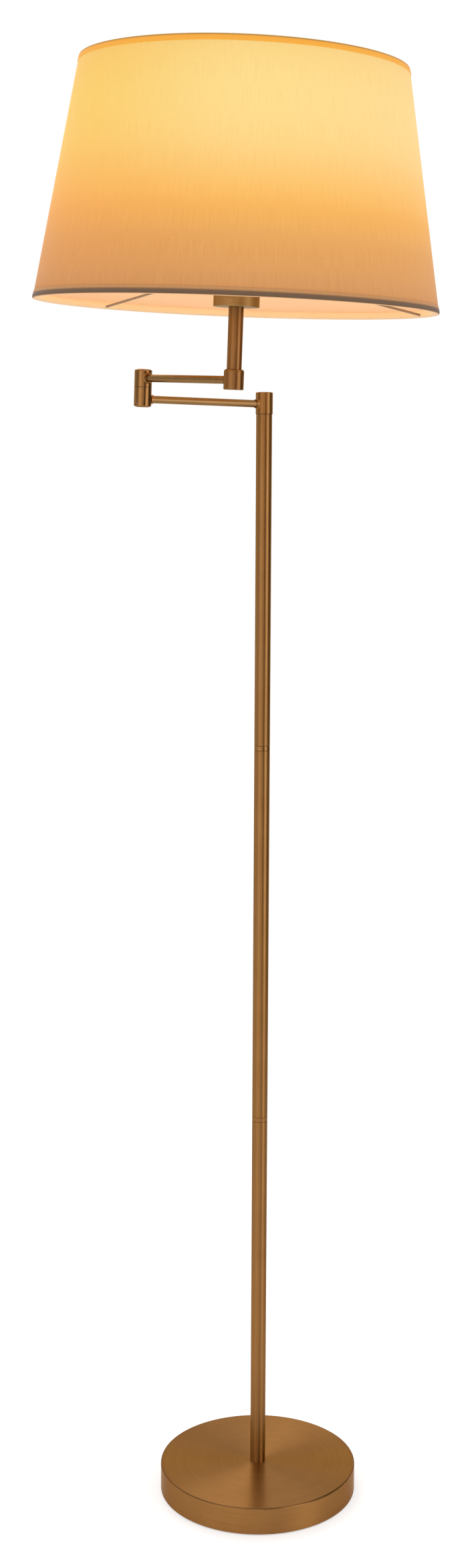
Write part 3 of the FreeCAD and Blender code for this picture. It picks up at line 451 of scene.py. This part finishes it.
PLAIN = (
    ("cast_iron", (0.020, 0.020, 0.021), (0.045, 0.044, 0.043), IRON_GRAIN, 0.0003, 0.62, 0.2, 0.0,
     ("base_weight",)),
    ("rubber", (0.018, 0.018, 0.018), (0.034, 0.033, 0.032), RUBBER_GRAIN, 0.0001, 0.85, 0.0, 0.0,
     ("base_pad",)),
    ("black_moulding", (0.012, 0.012, 0.013), (0.024, 0.024, 0.024), MOULD_GRAIN, 0.00003, 0.42,
     0.0, 0.0, ("cord_grommet", "lampholder_base", "lampholder_skirt", "shade_ring_nut")),
    ("oiled_bronze", (0.040, 0.024, 0.012), (0.075, 0.046, 0.023), MOULD_GRAIN, 0.00003, 0.50,
     0.6, 0.0, ("pole_bush", "elbow_bush")),
    ("zinc_steel", (0.36, 0.37, 0.38), (0.56, 0.57, 0.58), TURNING, 0.00002, 0.34, 1.0, 0.0,
     ("base_washer", "base_nut", "pole_pivot_washer", "pole_pivot_nut", "elbow_pivot_washer",
      "elbow_pivot_nut", "elbow_grub_screw")),
    ("bare_brass", (0.46, 0.31, 0.11), (0.66, 0.47, 0.19), TURNING, 0.00002, 0.30, 1.0, 0.0,
     ("base_nipple", "pole_foot_bush", "pole_pivot", "elbow_pivot", "stem_bush", "holder_nipple",
      "lampholder_contact", "lampholder_thread", "bulb_contact")),
    ("bulb_metal", (0.58, 0.58, 0.57), (0.76, 0.76, 0.74), TURNING, 0.00002, 0.28, 1.0, 0.0,
     ("bulb_cap",)),
    ("ceramic", (0.70, 0.68, 0.62), (0.82, 0.80, 0.75), MOULD_GRAIN, 0.00003, 0.40, 0.0, 0.2,
     ("lampholder_core",)),
    ("tan_enamel", (0.28, 0.165, 0.080), (0.36, 0.220, 0.110), MOULD_GRAIN, 0.00006, 0.38, 0.0, 0.4,
     ("shade_spider", "shade_bottom_ring", "shade_top_ring")),
)

plain_finishes = {}
for title, dark, light, grain, relief, roughness, metallic, coat, members in PLAIN:
    plain = grained(title, dark, light, grain, relief, roughness, metallic, coat)
    plain_finishes[title] = plain
    for member in members:
        dress(member, plain)
print("plain finishes:", len(plain_finishes))

# %% [markdown]
# ## The bulb
#
# The bulb is an opal globe that glows evenly. A lit globe is nearly white at its middle, and the
# colour that the shade takes comes from the cloth and not from the bulb. The glass therefore glows
# in a pale warm white, a little weaker near the neck, where the cap shades it.

# %% Opal glass
GLOW_WHITE = (1.0, 0.86, 0.62)
GLOW_NECK = (0.85, 0.58, 0.30)
NECK_HEIGHTS = (-0.045, 0.0)
CLOUD_SCALE = 60.0
CLOUD_SHIFT = 0.01
CLOUD_RELIEF = 0.0001
GLOBE_GLOW = 1.6


def opal_glass():
    """Glowing opal glass, dimmer towards the screw cap."""
    paint = Paint("opal_glass")
    place = paint.place(frame_on(middle("bulb_globe"), shade_axis))
    up = paint.split(place)[2]
    cloud = paint.noise(place, CLOUD_SCALE)
    glow = paint.mix((up + cloud * CLOUD_SHIFT).step(*NECK_HEIGHTS), GLOW_NECK, GLOW_WHITE)
    return paint.surface(
        base_color=glow, roughness=cloud * 0.1 + 0.15, coat_weight=0.5, coat_roughness=0.05,
        emission_color=glow, emission_strength=GLOBE_GLOW, normal=paint.bump(cloud, CLOUD_RELIEF))


dress("bulb_globe", opal_glass())
print("bulb centre:", [round(part, 4) for part in middle("bulb_globe")])

# %% [markdown]
# ## Helpers for the shade
#
# Every piece that is made again is a figure of turning round the shade's axis. It is unwrapped by its
# own turn and height, so that the weave follows the cloth round the cone. The unwrapping starts at the
# back, where the cloth has its glued seam. All of them ride on the head, the body of the upper arm and
# the shade.

# %% Helpers for turned cloth
TURNS = 192
TAU = 2.0 * math.pi


def turn_of(point):
    """Share of a full turn from the seam at the back, from 0 to 1."""
    return (math.atan2(point.x, point.y) / TAU) % 1.0


def unwrap_round(bm):
    """A UV map of a turned piece: u is the turn from the seam, v the height in shade heights."""
    layer = bm.loops.layers.uv.new("wrap")
    for face in bm.faces:
        home = turn_of(face.calc_center_median())
        for loop in face.loops:
            turn = turn_of(loop.vert.co)
            loop[layer].uv = (turn + round(home - turn), loop.vert.co.z / shade_height)


def add_mesh(bm, name, material):
    """Turn a bmesh into an object of the scene."""
    mesh = bpy.data.meshes.new(name)
    bm.to_mesh(mesh)
    bm.free()
    mesh.materials.append(material)
    added = bpy.data.objects.new(name, mesh)
    bpy.context.scene.collection.objects.link(added)
    return added


def finish_piece(bm, name, material, slot, *replaced):
    """Carry an upright mesh into the shade's frame, and let it ride on the head."""
    bmesh.ops.transform(bm, matrix=shade_frame, verts=bm.verts)
    for face in bm.faces:
        face.smooth = True
    piece = add_mesh(bm, name, material)
    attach(piece, "head")
    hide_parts(*replaced)
    print(name, len(piece.data.polygons), "faces")
    return piece


def cone_radius(height):
    """Radius of the cloth's outer face at a height above the shade's lower edge."""
    return low_radius + (high_radius - low_radius) * height / shade_height


print("steps in a turn:", TURNS)

# %% [markdown]
# ## Lit cloth
#
# The cloth is a plain weave with thin and thick yarns, glued to a translucent lining. The light
# behind it makes it glow: almost white-gold where the bulb is near, and tan towards the lower edge,
# which the bulb reaches only at a slant. Real translucency would need a long and noisy render, so
# the glow is painted as an emission that follows the height on the cloth. Its left side is a little
# more orange than its right one, as seen in the picture.
#
# Thick yarns let less light through, so the same thread noise that roughens the relief also darkens
# the glow. The threads run up the cone, with finer ones across.

# %% Lit cloth
CLOTH_GIRTH = TAU * (low_radius + high_radius) / 2
CLOTH = (0.40, 0.255, 0.115)
CLOTH_THICK = (0.34, 0.21, 0.09)
YARN = 0.0007
YARN_RUN = 0.030
WEFT = 0.0006
WEFT_RUN = 0.008
THREAD = 0.0006
WARP_SHARE = 0.6
WEFT_SHARE = 0.3
WEAVE_SHARE = 0.05
WEFT_SLICE = 7.0
THREAD_RELIEF = 0.00012
SHEEN = 0.1
THICK_YARN = (0.97, 0.94, 0.90)
LEFT_SIDE = (0.97, 0.79, 0.25)
RIGHT_SIDE = (1.0, 0.97, 1.04)
SIDE_MIDDLE = 0.55
GLOW_STOPS = (
    (0.00, (0.33, 0.100, 0.014)),
    (0.10, (0.40, 0.133, 0.014)),
    (0.25, (0.51, 0.200, 0.014)),
    (0.38, (0.64, 0.300, 0.026)),
    (0.57, (0.67, 0.455, 0.134)),
    (0.78, (0.67, 0.520, 0.178)),
    (1.00, (0.65, 0.470, 0.140)),
)


def threads(paint, around, up):
    """Thick and thin yarns: long slubs up the cone, short ones across, and the weave itself."""
    warp = paint.noise(paint.join(around / YARN, up / YARN_RUN, 0.0), 1.0, 2.0)
    weft = paint.noise(paint.join(around / WEFT_RUN, up / WEFT, WEFT_SLICE), 1.0, 2.0)
    over = (around * (TAU / THREAD)).sine()
    under = (up * (TAU / THREAD)).sine()
    return warp * WARP_SHARE + weft * WEFT_SHARE + over * under * WEAVE_SHARE + WEAVE_SHARE


def cloth_place(paint):
    """The turn as a share, metres round the shade and up it, and the height as a share."""
    wrap = paint.node("ShaderNodeUVMap", {"uv_map": "wrap"})
    u, v = paint.split(wrap)[:2]
    return u, u * CLOTH_GIRTH, v * shade_height, v


def side_share(u):
    """1 at the right of the picture, 0 at the left, and a smooth change between them."""
    return (u * TAU).sine() * 0.5 + 0.5


def lit_cloth():
    """The shade's outer cloth."""
    paint = Paint("lit_cloth")
    u, around, up, v = cloth_place(paint)
    yarn = threads(paint, around, up)
    glow = paint.node("ShaderNodeValToRGB",
                      {"stops": GLOW_STOPS, "interpolation": "CARDINAL"}, {"Fac": v})
    dim = paint.mix(yarn.step(0.35, 0.75), AS_IT_IS, THICK_YARN)
    share = side_share(u)
    side = paint.mix(share.step(0.0, SIDE_MIDDLE), LEFT_SIDE, AS_IT_IS)
    side = paint.mix(share.step(SIDE_MIDDLE, 1.0), side, RIGHT_SIDE)
    return paint.surface(
        base_color=paint.mix(yarn.step(0.3, 0.7), CLOTH, CLOTH_THICK), roughness=0.9,
        sheen_weight=SHEEN, emission_color=paint.times(paint.times(glow, dim), side),
        emission_strength=1.0, normal=paint.bump(yarn, THREAD_RELIEF))


print("weave:", THREAD, "m apart")

# %% Lining
HAZE_SCALE = 9.0
HAZE_SHIFT = 0.03
HAZE_RELIEF = 0.0002
LINING_DARK = (0.56, 0.44, 0.32)
LINING_PALE = (0.60, 0.48, 0.36)
LINING_GLOW_LOW = (0.40, 0.175, 0.060)
LINING_GLOW = (0.56, 0.40, 0.18)
LINING_GLOW_RISE = (0.02, 0.55)


def lining_sheet():
    """The stiff lining: smooth and pale, lit from the front by the bulb, with a painted glow that rises
    with height.
    """
    paint = Paint("lining_sheet")
    around, up, v = cloth_place(paint)[1:]
    haze = paint.noise(paint.join(around * HAZE_SCALE, up * HAZE_SCALE, 0.0))
    glow = paint.mix((v + haze * HAZE_SHIFT).step(*LINING_GLOW_RISE), LINING_GLOW_LOW, LINING_GLOW)
    return paint.surface(
        base_color=paint.mix(haze, LINING_DARK, LINING_PALE), roughness=0.5,
        emission_color=glow, emission_strength=1.0, normal=paint.bump(haze, HAZE_RELIEF))


print("lining glows from", LINING_GLOW_LOW, "to", LINING_GLOW)


# %% [markdown]
# ## The cloth and its lining
#
# Both are flat sheets that are rolled into a cone. A cone could be spun in one go, but the seam would
# be lost, so one upright edge is extruded step by step round the axis. The cloth goes two steps past a
# full turn: its lap is 12 mm wide at the top and 15 mm at the bottom, and lies 0.3 mm proud. The lining
# has no lap, and its last edge is tucked in by its own thickness. The wall comes from a Solidify
# modifier.

# %% Roll the sheets
CLOTH_WALL = 0.0009
LINING_WALL = 0.0006
LAP = 0.010
LAP_LIFT = 0.0003
RISES = 12
UPRIGHT = 0.1


def roll_sheet(inset, lift, lapped):
    """An upright edge extruded round the axis, at least LAP more than one turn if it is lapped."""
    bm = bmesh.new()
    foot = bm.verts.new((0.0, low_radius - inset, 0.0))
    head = bm.verts.new((0.0, high_radius - inset, shade_height))
    edge = bm.edges.new((foot, head))
    step = -TAU / TURNS
    extra = math.ceil(LAP / (TAU * high_radius) * TURNS) if lapped else 0
    for turn in range(1, TURNS + extra + 1):
        made = bmesh.ops.extrude_edge_only(bm, edges=[edge])["geom"]
        moved = [item for item in made if isinstance(item, bmesh.types.BMVert)]
        edge = next(item for item in made if isinstance(item, bmesh.types.BMEdge))
        bmesh.ops.rotate(bm, verts=moved, cent=(0, 0, 0), matrix=Matrix.Rotation(step, 3, "Z"))
        if turn == TURNS:
            for vert in moved:
                vert.co.xy *= 1.0 + lift / vert.co.xy.length
    upright = [item for item in bm.edges
               if abs(item.verts[0].co.z - item.verts[1].co.z) > UPRIGHT]
    bmesh.ops.subdivide_edges(bm, edges=upright, cuts=RISES, use_grid_fill=True)
    bmesh.ops.recalc_face_normals(bm, faces=bm.faces)
    if bm.faces[0].normal.dot(bm.faces[0].calc_center_median()) < 0.0:
        bmesh.ops.reverse_faces(bm, faces=bm.faces)
    unwrap_round(bm)
    return bm


def thicken(piece, wall):
    """Give a sheet its wall, inwards."""
    solid = piece.modifiers.new("wall", "SOLIDIFY")
    solid.thickness = wall
    solid.offset = -1.0
    solid.use_even_offset = True


bm = roll_sheet(0.0, LAP_LIFT, True)
cloth = finish_piece(bm, "shade_cloth", lit_cloth(), "shade_fabric", "shade_fabric")
thicken(cloth, CLOTH_WALL)

bm = roll_sheet(CLOTH_WALL, -LINING_WALL, False)
lining = finish_piece(bm, "shade_inner_sheet", lining_sheet(), "shade_lining", "shade_lining")
thicken(lining, LINING_WALL)

# %% [markdown]
# ## The edge tapes
#
# A folded tape is glued over each end of the cone and closes round the wire ring. The wire shadows
# the lower part of the lower tape, and this shadow is painted into the tape's colour and glow, so it
# shows as a dark rolled lip under a paler band. The upper tape is narrower, and glows a deeper orange,
# because it and the cloth both lie in front of the bulb.
#
# Each tape is one closed outline, spun round the axis. Its free edge wanders by a quarter of a
# millimetre at most, as a hand-laid tape does.

# %% Edge tapes
TAPE = 0.0005
TAPE_LOW = 0.009
TAPE_HIGH = 0.007
LIP = 0.0048
WANDER = 0.00025
WANDER_SCALE = 22.0
WANDER_REACH = 0.0005
ROLL = 0.0009
SKIN = 0.00012
INNER_DEPTH = (0.0004, 0.0012)
ABOVE_THE_FOLD = (-0.0010, -0.0003)
DULL_YARN = (0.86, 0.84, 0.80)
CONE_SLOPE = (high_radius - low_radius) / shade_height
# Painted light of the bulb on the lower tape's inner leg: its glow, and a paler colour.
LIT_TAPE = (0.50, 0.29, 0.12)
LIT_TAPE_BASE = (0.50, 0.38, 0.26)


def tape_finish(name, stops, base_stops, lit_inside=False):
    """Tape whose colour and glow follow the height; its inner leg may be given painted light of the
    bulb, a glow and a paler colour.
    """
    paint = Paint(name)
    around, up, v = cloth_place(paint)[1:]
    yarn = threads(paint, around, up)
    glow = paint.node("ShaderNodeValToRGB", {"stops": stops}, {"Fac": v})
    base = paint.node("ShaderNodeValToRGB", {"stops": base_stops}, {"Fac": v})
    # Painted light: the inner leg faces the bulb, so it takes a glow and a paler colour.
    if lit_inside:
        x, y, z = paint.split(paint.place(shade_frame))
        depth = z * CONE_SLOPE + low_radius - (x * x + y * y).root()
        inside = depth.step(*INNER_DEPTH) * z.step(*ABOVE_THE_FOLD)
        glow = paint.mix(inside, glow, LIT_TAPE)
        base = paint.mix(inside, base, LIT_TAPE_BASE)
    dull = paint.mix(yarn.step(0.3, 0.8), AS_IT_IS, DULL_YARN)
    return paint.surface(
        base_color=paint.times(base, dull), roughness=0.85, sheen_weight=SHEEN,
        emission_color=glow, emission_strength=1.0, normal=paint.bump(yarn, THREAD_RELIEF))


def spin_outline(corners, steps=TURNS):
    """Spin a closed outline of (radius, height) corners round the axis."""
    bm = bmesh.new()
    ring = [bm.verts.new((0.0, radius, height)) for radius, height in corners]
    edges = [bm.edges.new(pair) for pair in zip(ring, ring[1:] + ring[:1])]
    bmesh.ops.spin(bm, geom=ring + edges, cent=(0, 0, 0), axis=(0, 0, 1), angle=TAU,
                   steps=steps, use_merge=True)
    bmesh.ops.recalc_face_normals(bm, faces=bm.faces)
    return bm


def wander(bm, height):
    """Move a tape's free edge up and down by a fraction of a millimetre."""
    for vert in bm.verts:
        if abs(vert.co.z - height) < WANDER_REACH:
            vert.co.z += noise.noise(vert.co * WANDER_SCALE) * WANDER


def within_lining(height, gap):
    """Radius at a gap within the lining's inner face."""
    return cone_radius(height) - CLOTH_WALL - LINING_WALL - gap


def soften(piece):
    """Round a spun outline with one level of subdivision."""
    smooth = piece.modifiers.new("soft", "SUBSURF")
    smooth.levels = 1
    smooth.render_levels = 1


print("tapes:", TAPE_LOW, "and", TAPE_HIGH, "m high")

# %% Lower tape
inner_wire = min(radius for radius, height in outline_points("shade_bottom_ring"))
print("lower wire's inside:", round(inner_wire, 5), "low radius:", round(low_radius, 5))
bm = spin_outline([
    (cone_radius(TAPE_LOW) + SKIN, TAPE_LOW),
    (cone_radius(TAPE_LOW) + TAPE, TAPE_LOW - 0.0003),
    (cone_radius(LIP) + TAPE, LIP + 0.0006),
    (cone_radius(LIP) + ROLL, LIP - 0.0005),
    (low_radius + ROLL, 0.0012),
    (low_radius, -TAPE),
    (inner_wire + 0.001, -TAPE),
    (inner_wire - TAPE - 0.0004, 0.0010),
    (inner_wire - TAPE - 0.0004, 0.0034),
    (inner_wire + 0.0010, 0.0054),
    (within_lining(0.0075, TAPE), 0.0075),
    (within_lining(0.0075, SKIN), 0.0078),
    (within_lining(0.0050, SKIN), 0.0050),
    (within_lining(0.0, SKIN), -SKIN),
    (low_radius + SKIN, -SKIN),
])
wander(bm, TAPE_LOW)
unwrap_round(bm)
lip_share = LIP / shade_height
band_from = lip_share * 1.15
# Painted shadow of the wire: the lip's glow and colour are darker than the band above it.
low_glow = (
    (0.0, (0.010, 0.004, 0.001)),
    (lip_share, (0.020, 0.008, 0.002)),
    (band_from, (0.26, 0.085, 0.015)),
    (1.0, (0.30, 0.095, 0.018)),
)
low_base = (
    (0.0, (0.150, 0.092, 0.055)),
    (lip_share, (0.170, 0.100, 0.056)),
    (band_from, (0.33, 0.205, 0.095)),
    (1.0, (0.36, 0.22, 0.10)),
)
low_cloth = tape_finish("lower_tape_cloth", low_glow, low_base, lit_inside=True)
low_tape = finish_piece(bm, "lower_tape", low_cloth, "shade_tape", "shade_bottom_tape")
soften(low_tape)

# %% Upper tape
top = shade_height
high_wire = min(radius for radius, height in outline_points("shade_top_ring"))
print("upper wire's inside:", round(high_wire, 5), "high radius:", round(high_radius, 5))
high_low = top - TAPE_HIGH
bm = spin_outline([
    (cone_radius(high_low) + SKIN, high_low),
    (cone_radius(high_low) + TAPE, high_low + 0.0003),
    (cone_radius(top - 0.003) + TAPE, top - 0.003),
    (high_radius + TAPE, top - 0.0006),
    (high_radius - 0.0004, top + TAPE),
    (high_wire, top + TAPE),
    (high_wire - TAPE - 0.0003, top - 0.0012),
    (high_wire - TAPE - 0.0003, top - 0.0032),
    (high_wire + 0.0012, top - 0.0046),
    (within_lining(top - 0.0062, TAPE), top - 0.0062),
    (within_lining(top - 0.0062, SKIN), top - 0.0066),
    (within_lining(top, SKIN), top + SKIN),
    (high_radius + SKIN, top + SKIN),
])
wander(bm, high_low)
unwrap_round(bm)
edge_share = 1.0 - 0.0008 / shade_height
band_share = 1.0 - TAPE_HIGH / shade_height
# The glow fades to dark at the top fold, over the wire ring: painted shade.
high_glow = (
    (0.0, (0.66, 0.28, 0.008)),
    (band_share, (0.66, 0.28, 0.008)),
    (edge_share - 0.004, (0.66, 0.24, 0.004)),
    (edge_share, (0.10, 0.05, 0.012)),
)
high_base = (
    (0.0, (0.33, 0.185, 0.035)),
    (edge_share, (0.33, 0.185, 0.045)),
)
high_tape = finish_piece(bm, "upper_tape", tape_finish("upper_tape_cloth", high_glow, high_base),
                         "shade_tape", "shade_top_tape")
soften(high_tape)

# %% [markdown]
# ## The ring nut
#
# A black ring nut clamps the spider on the lampholder. It is turned by hand, so its rim has ribs for
# the fingers. A ribbed rim could be cut rib by rib. It is quicker to spin the nut's outline in fine
# steps, four to a rib, and then to draw one step in four in by the depth of a groove. The nut is seen
# from above, and from below past the spokes.

# %% Ring nut
NUT_STEPS = 144
GROOVES = 36
GROOVE_DEPTH = 0.0006
NUT_EDGE = 0.0005
GROOVE_FROM = 0.1
RIM_SLACK = 0.1


def ribbed_nut():
    """A ring with rounded edges and grooves round its rim, upright in the shade's frame."""
    radii, heights = zip(*outline_points("shade_ring_nut"))
    low, high, hole, rim = min(heights), max(heights), min(radii), max(radii)
    bm = spin_outline([
        (hole, low + NUT_EDGE), (hole + NUT_EDGE, low), (rim - NUT_EDGE, low), (rim, low + NUT_EDGE),
        (rim, high - NUT_EDGE), (rim - NUT_EDGE, high), (hole + NUT_EDGE, high),
        (hole, high - NUT_EDGE)], NUT_STEPS)
    for vert in bm.verts:
        groove = math.sin(turn_of(vert.co) * TAU * GROOVES) > GROOVE_FROM
        if groove and vert.co.xy.length > rim - RIM_SLACK * NUT_EDGE:
            vert.co.xy *= 1.0 - GROOVE_DEPTH / rim
    return bm


ring_nut = finish_piece(ribbed_nut(), "ribbed_ring_nut", plain_finishes["black_moulding"],
                        "black_plastic", "shade_ring_nut")
for polygon in ring_nut.data.polygons:
    polygon.use_smooth = False

# %% [markdown]
# ## Floor and light
#
# The lamp stands on a plain pale floor. A studio picture of metal needs large soft lights, because
# metal shows nothing but its surroundings: a broad softbox in front on the left gives every tube its
# wide bright band, a narrow one on the right gives it a thin line, and one high up behind the lamp
# lights the top of the base. The world is white for the camera and for reflections, and a weaker grey
# for soft light.

# %% World
AMBIENT = 0.70


def white_room():
    """A world that is white where it is seen and a soft grey where it only lights."""
    world = bpy.data.worlds.new("white_room")
    world.use_nodes = True
    tree = world.node_tree
    tree.nodes.clear()
    path = tree.nodes.new("ShaderNodeLightPath")
    seen = tree.nodes.new("ShaderNodeMath")
    seen.operation = "ADD"
    tree.links.new(path.outputs["Is Camera Ray"], seen.inputs[0])
    tree.links.new(path.outputs["Is Glossy Ray"], seen.inputs[1])
    through = tree.nodes.new("ShaderNodeMath")
    through.operation = "ADD"
    through.use_clamp = True
    tree.links.new(seen.outputs[0], through.inputs[0])
    tree.links.new(path.outputs["Is Transmission Ray"], through.inputs[1])
    level = tree.nodes.new("ShaderNodeMapRange")
    level.inputs["To Min"].default_value = AMBIENT
    tree.links.new(through.outputs[0], level.inputs["Value"])
    background = tree.nodes.new("ShaderNodeBackground")
    background.inputs["Color"].default_value = (1.0, 1.0, 1.0, 1.0)
    tree.links.new(level.outputs["Result"], background.inputs["Strength"])
    output = tree.nodes.new("ShaderNodeOutputWorld")
    tree.links.new(background.outputs[0], output.inputs["Surface"])
    bpy.context.scene.world = world


white_room()
print("ambient:", AMBIENT)

# %% Floor
FLOOR_HALF = 3.0
FADE_FROM = 0.9
FADE_TO = 2.4
FLOOR_LIFT = 0.45
FLOOR_GREY = (0.82, 0.82, 0.82, 1.0)


def pale_floor():
    """A white floor that keeps the lamp's soft shadow and fades into the background far from it."""
    paint = Paint("pale_floor")
    seen = paint.node("ShaderNodeLightPath", output="Is Camera Ray")
    mirrored = paint.node("ShaderNodeLightPath", output="Is Glossy Ray")
    glow = paint.mix(seen + mirrored, (0.0, 0.0, 0.0), (FLOOR_LIFT,) * 3)
    near = paint.node("ShaderNodeBsdfPrincipled", None, {
        "Base Color": FLOOR_GREY, "Roughness": 0.9,
        "Emission Color": glow, "Emission Strength": 1.0})
    x, y = paint.split(paint.node("ShaderNodeTexCoord", output="Object"))[:2]
    far = (x * x + y * y).root().step(FADE_FROM, FADE_TO)
    clear = paint.node("ShaderNodeBsdfTransparent")
    paint.node_out(paint.node("ShaderNodeMixShader", None, {0: far, 1: near, 2: clear}))
    return paint.material


bm = bmesh.new()
bmesh.ops.create_grid(bm, x_segments=1, y_segments=1, size=FLOOR_HALF)
floor = add_mesh(bm, "floor", pale_floor())
print("floor:", 2 * FLOOR_HALF, "m across")

# %% Softboxes
SOFTBOX_TINT = (1.0, 0.98, 0.95)
LAMPS = (
    ("broad_softbox", (-2.00, -2.40, 1.45), (0.0, 0.0, 0.95), (2.8, 2.7), 15.0),
    ("narrow_softbox", (2.00, -1.30, 1.30), (0.0, 0.0, 1.00), (0.8, 2.4), 9.5),
    ("top_softbox", (-0.55, 1.60, 2.75), (0.0, 0.0, 0.30), (1.5, 1.5), 11.0),
)

for title, place, target, spread, watts in LAMPS:
    lamp_data = bpy.data.lights.new(title, "AREA")
    lamp_data.shape = "RECTANGLE"
    lamp_data.size, lamp_data.size_y = spread
    lamp_data.energy = watts
    lamp_data.color = SOFTBOX_TINT
    lamp = bpy.data.objects.new(title, lamp_data)
    aim = Vector(target) - Vector(place)
    lamp.matrix_world = Matrix.Translation(place) @ aim.to_track_quat("-Z", "Y").to_matrix().to_4x4()
    lamp.visible_camera = False
    bpy.context.scene.collection.objects.link(lamp)
print("softboxes:", len(LAMPS))

# %% [markdown]
# ## Flags
#
# A polished tube in an all-white room looks flat and grey, because every side of it mirrors the same
# white. Studios stand dark cards, called flags, beside such things, and each gives the metal a dark
# streak next to a bright one. Two flags here are dark. The third is a mid grey, high up on the left,
# and only tones down what the top of the lamp mirrors. All three show in reflections alone: no camera
# sees them, and they keep no light from the lamp.

# %% Flags
FLAG_DISTANCE = 2.2
FLAGS = (
    ("front_flag", 22.0, 0.80, 0.10, 2.30, 0.10),
    ("side_flag", 104.0, 1.60, 0.10, 2.30, 0.10),
    ("high_flag", -76.0, 2.00, 1.25, 2.60, 0.50),
)


def flag_card(title, grey):
    """Matt card of one grey."""
    paint = Paint(title + "_card")
    return paint.surface(base_color=(grey, grey, grey, 1.0), roughness=1.0)


for title, heading, width, foot, head, grey in FLAGS:
    bm = bmesh.new()
    bmesh.ops.create_grid(bm, x_segments=1, y_segments=1, size=0.5)
    bmesh.ops.scale(bm, vec=(width, head - foot, 1.0), verts=bm.verts)
    bmesh.ops.rotate(bm, verts=bm.verts, matrix=Matrix.Rotation(math.pi / 2, 3, "X"))
    bmesh.ops.translate(bm, verts=bm.verts, vec=(0.0, -FLAG_DISTANCE, (foot + head) / 2))
    bmesh.ops.rotate(bm, verts=bm.verts, matrix=Matrix.Rotation(math.radians(heading), 3, "Z"))
    flag = add_mesh(bm, title, flag_card(title, grey))
    flag.visible_camera = False
    flag.visible_diffuse = False
    flag.visible_transmission = False
    flag.visible_shadow = False
print("flags:", len(FLAGS))

# %% [markdown]
# ## The light of the bulb
#
# The glowing globe alone would light the lining with a lot of noise. A soft point light does it
# instead. Its radius is 4 mm larger than that of the glass, so that the glass does not shadow it, and
# it rides on the head, so that it moves with the arm.

# %% Bulb light
BULB_WATTS = 2.0
BULB_TINT = (1.0, 0.80, 0.55)
GLOBE_LIGHT = 0.034

bulb_data = bpy.data.lights.new("bulb_light", "POINT")
bulb_data.energy = BULB_WATTS
bulb_data.color = BULB_TINT
bulb_data.shadow_soft_size = GLOBE_LIGHT
bulb_light = bpy.data.objects.new("bulb_light", bulb_data)
bulb_light.location = middle("bulb_globe")
bulb_light.visible_camera = False
bpy.context.scene.collection.objects.link(bulb_light)
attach(bulb_light, "head")
print("bulb light:", BULB_WATTS, "W")

# %% Output settings
scene = bpy.context.scene
scene.view_settings.view_transform = "Standard"
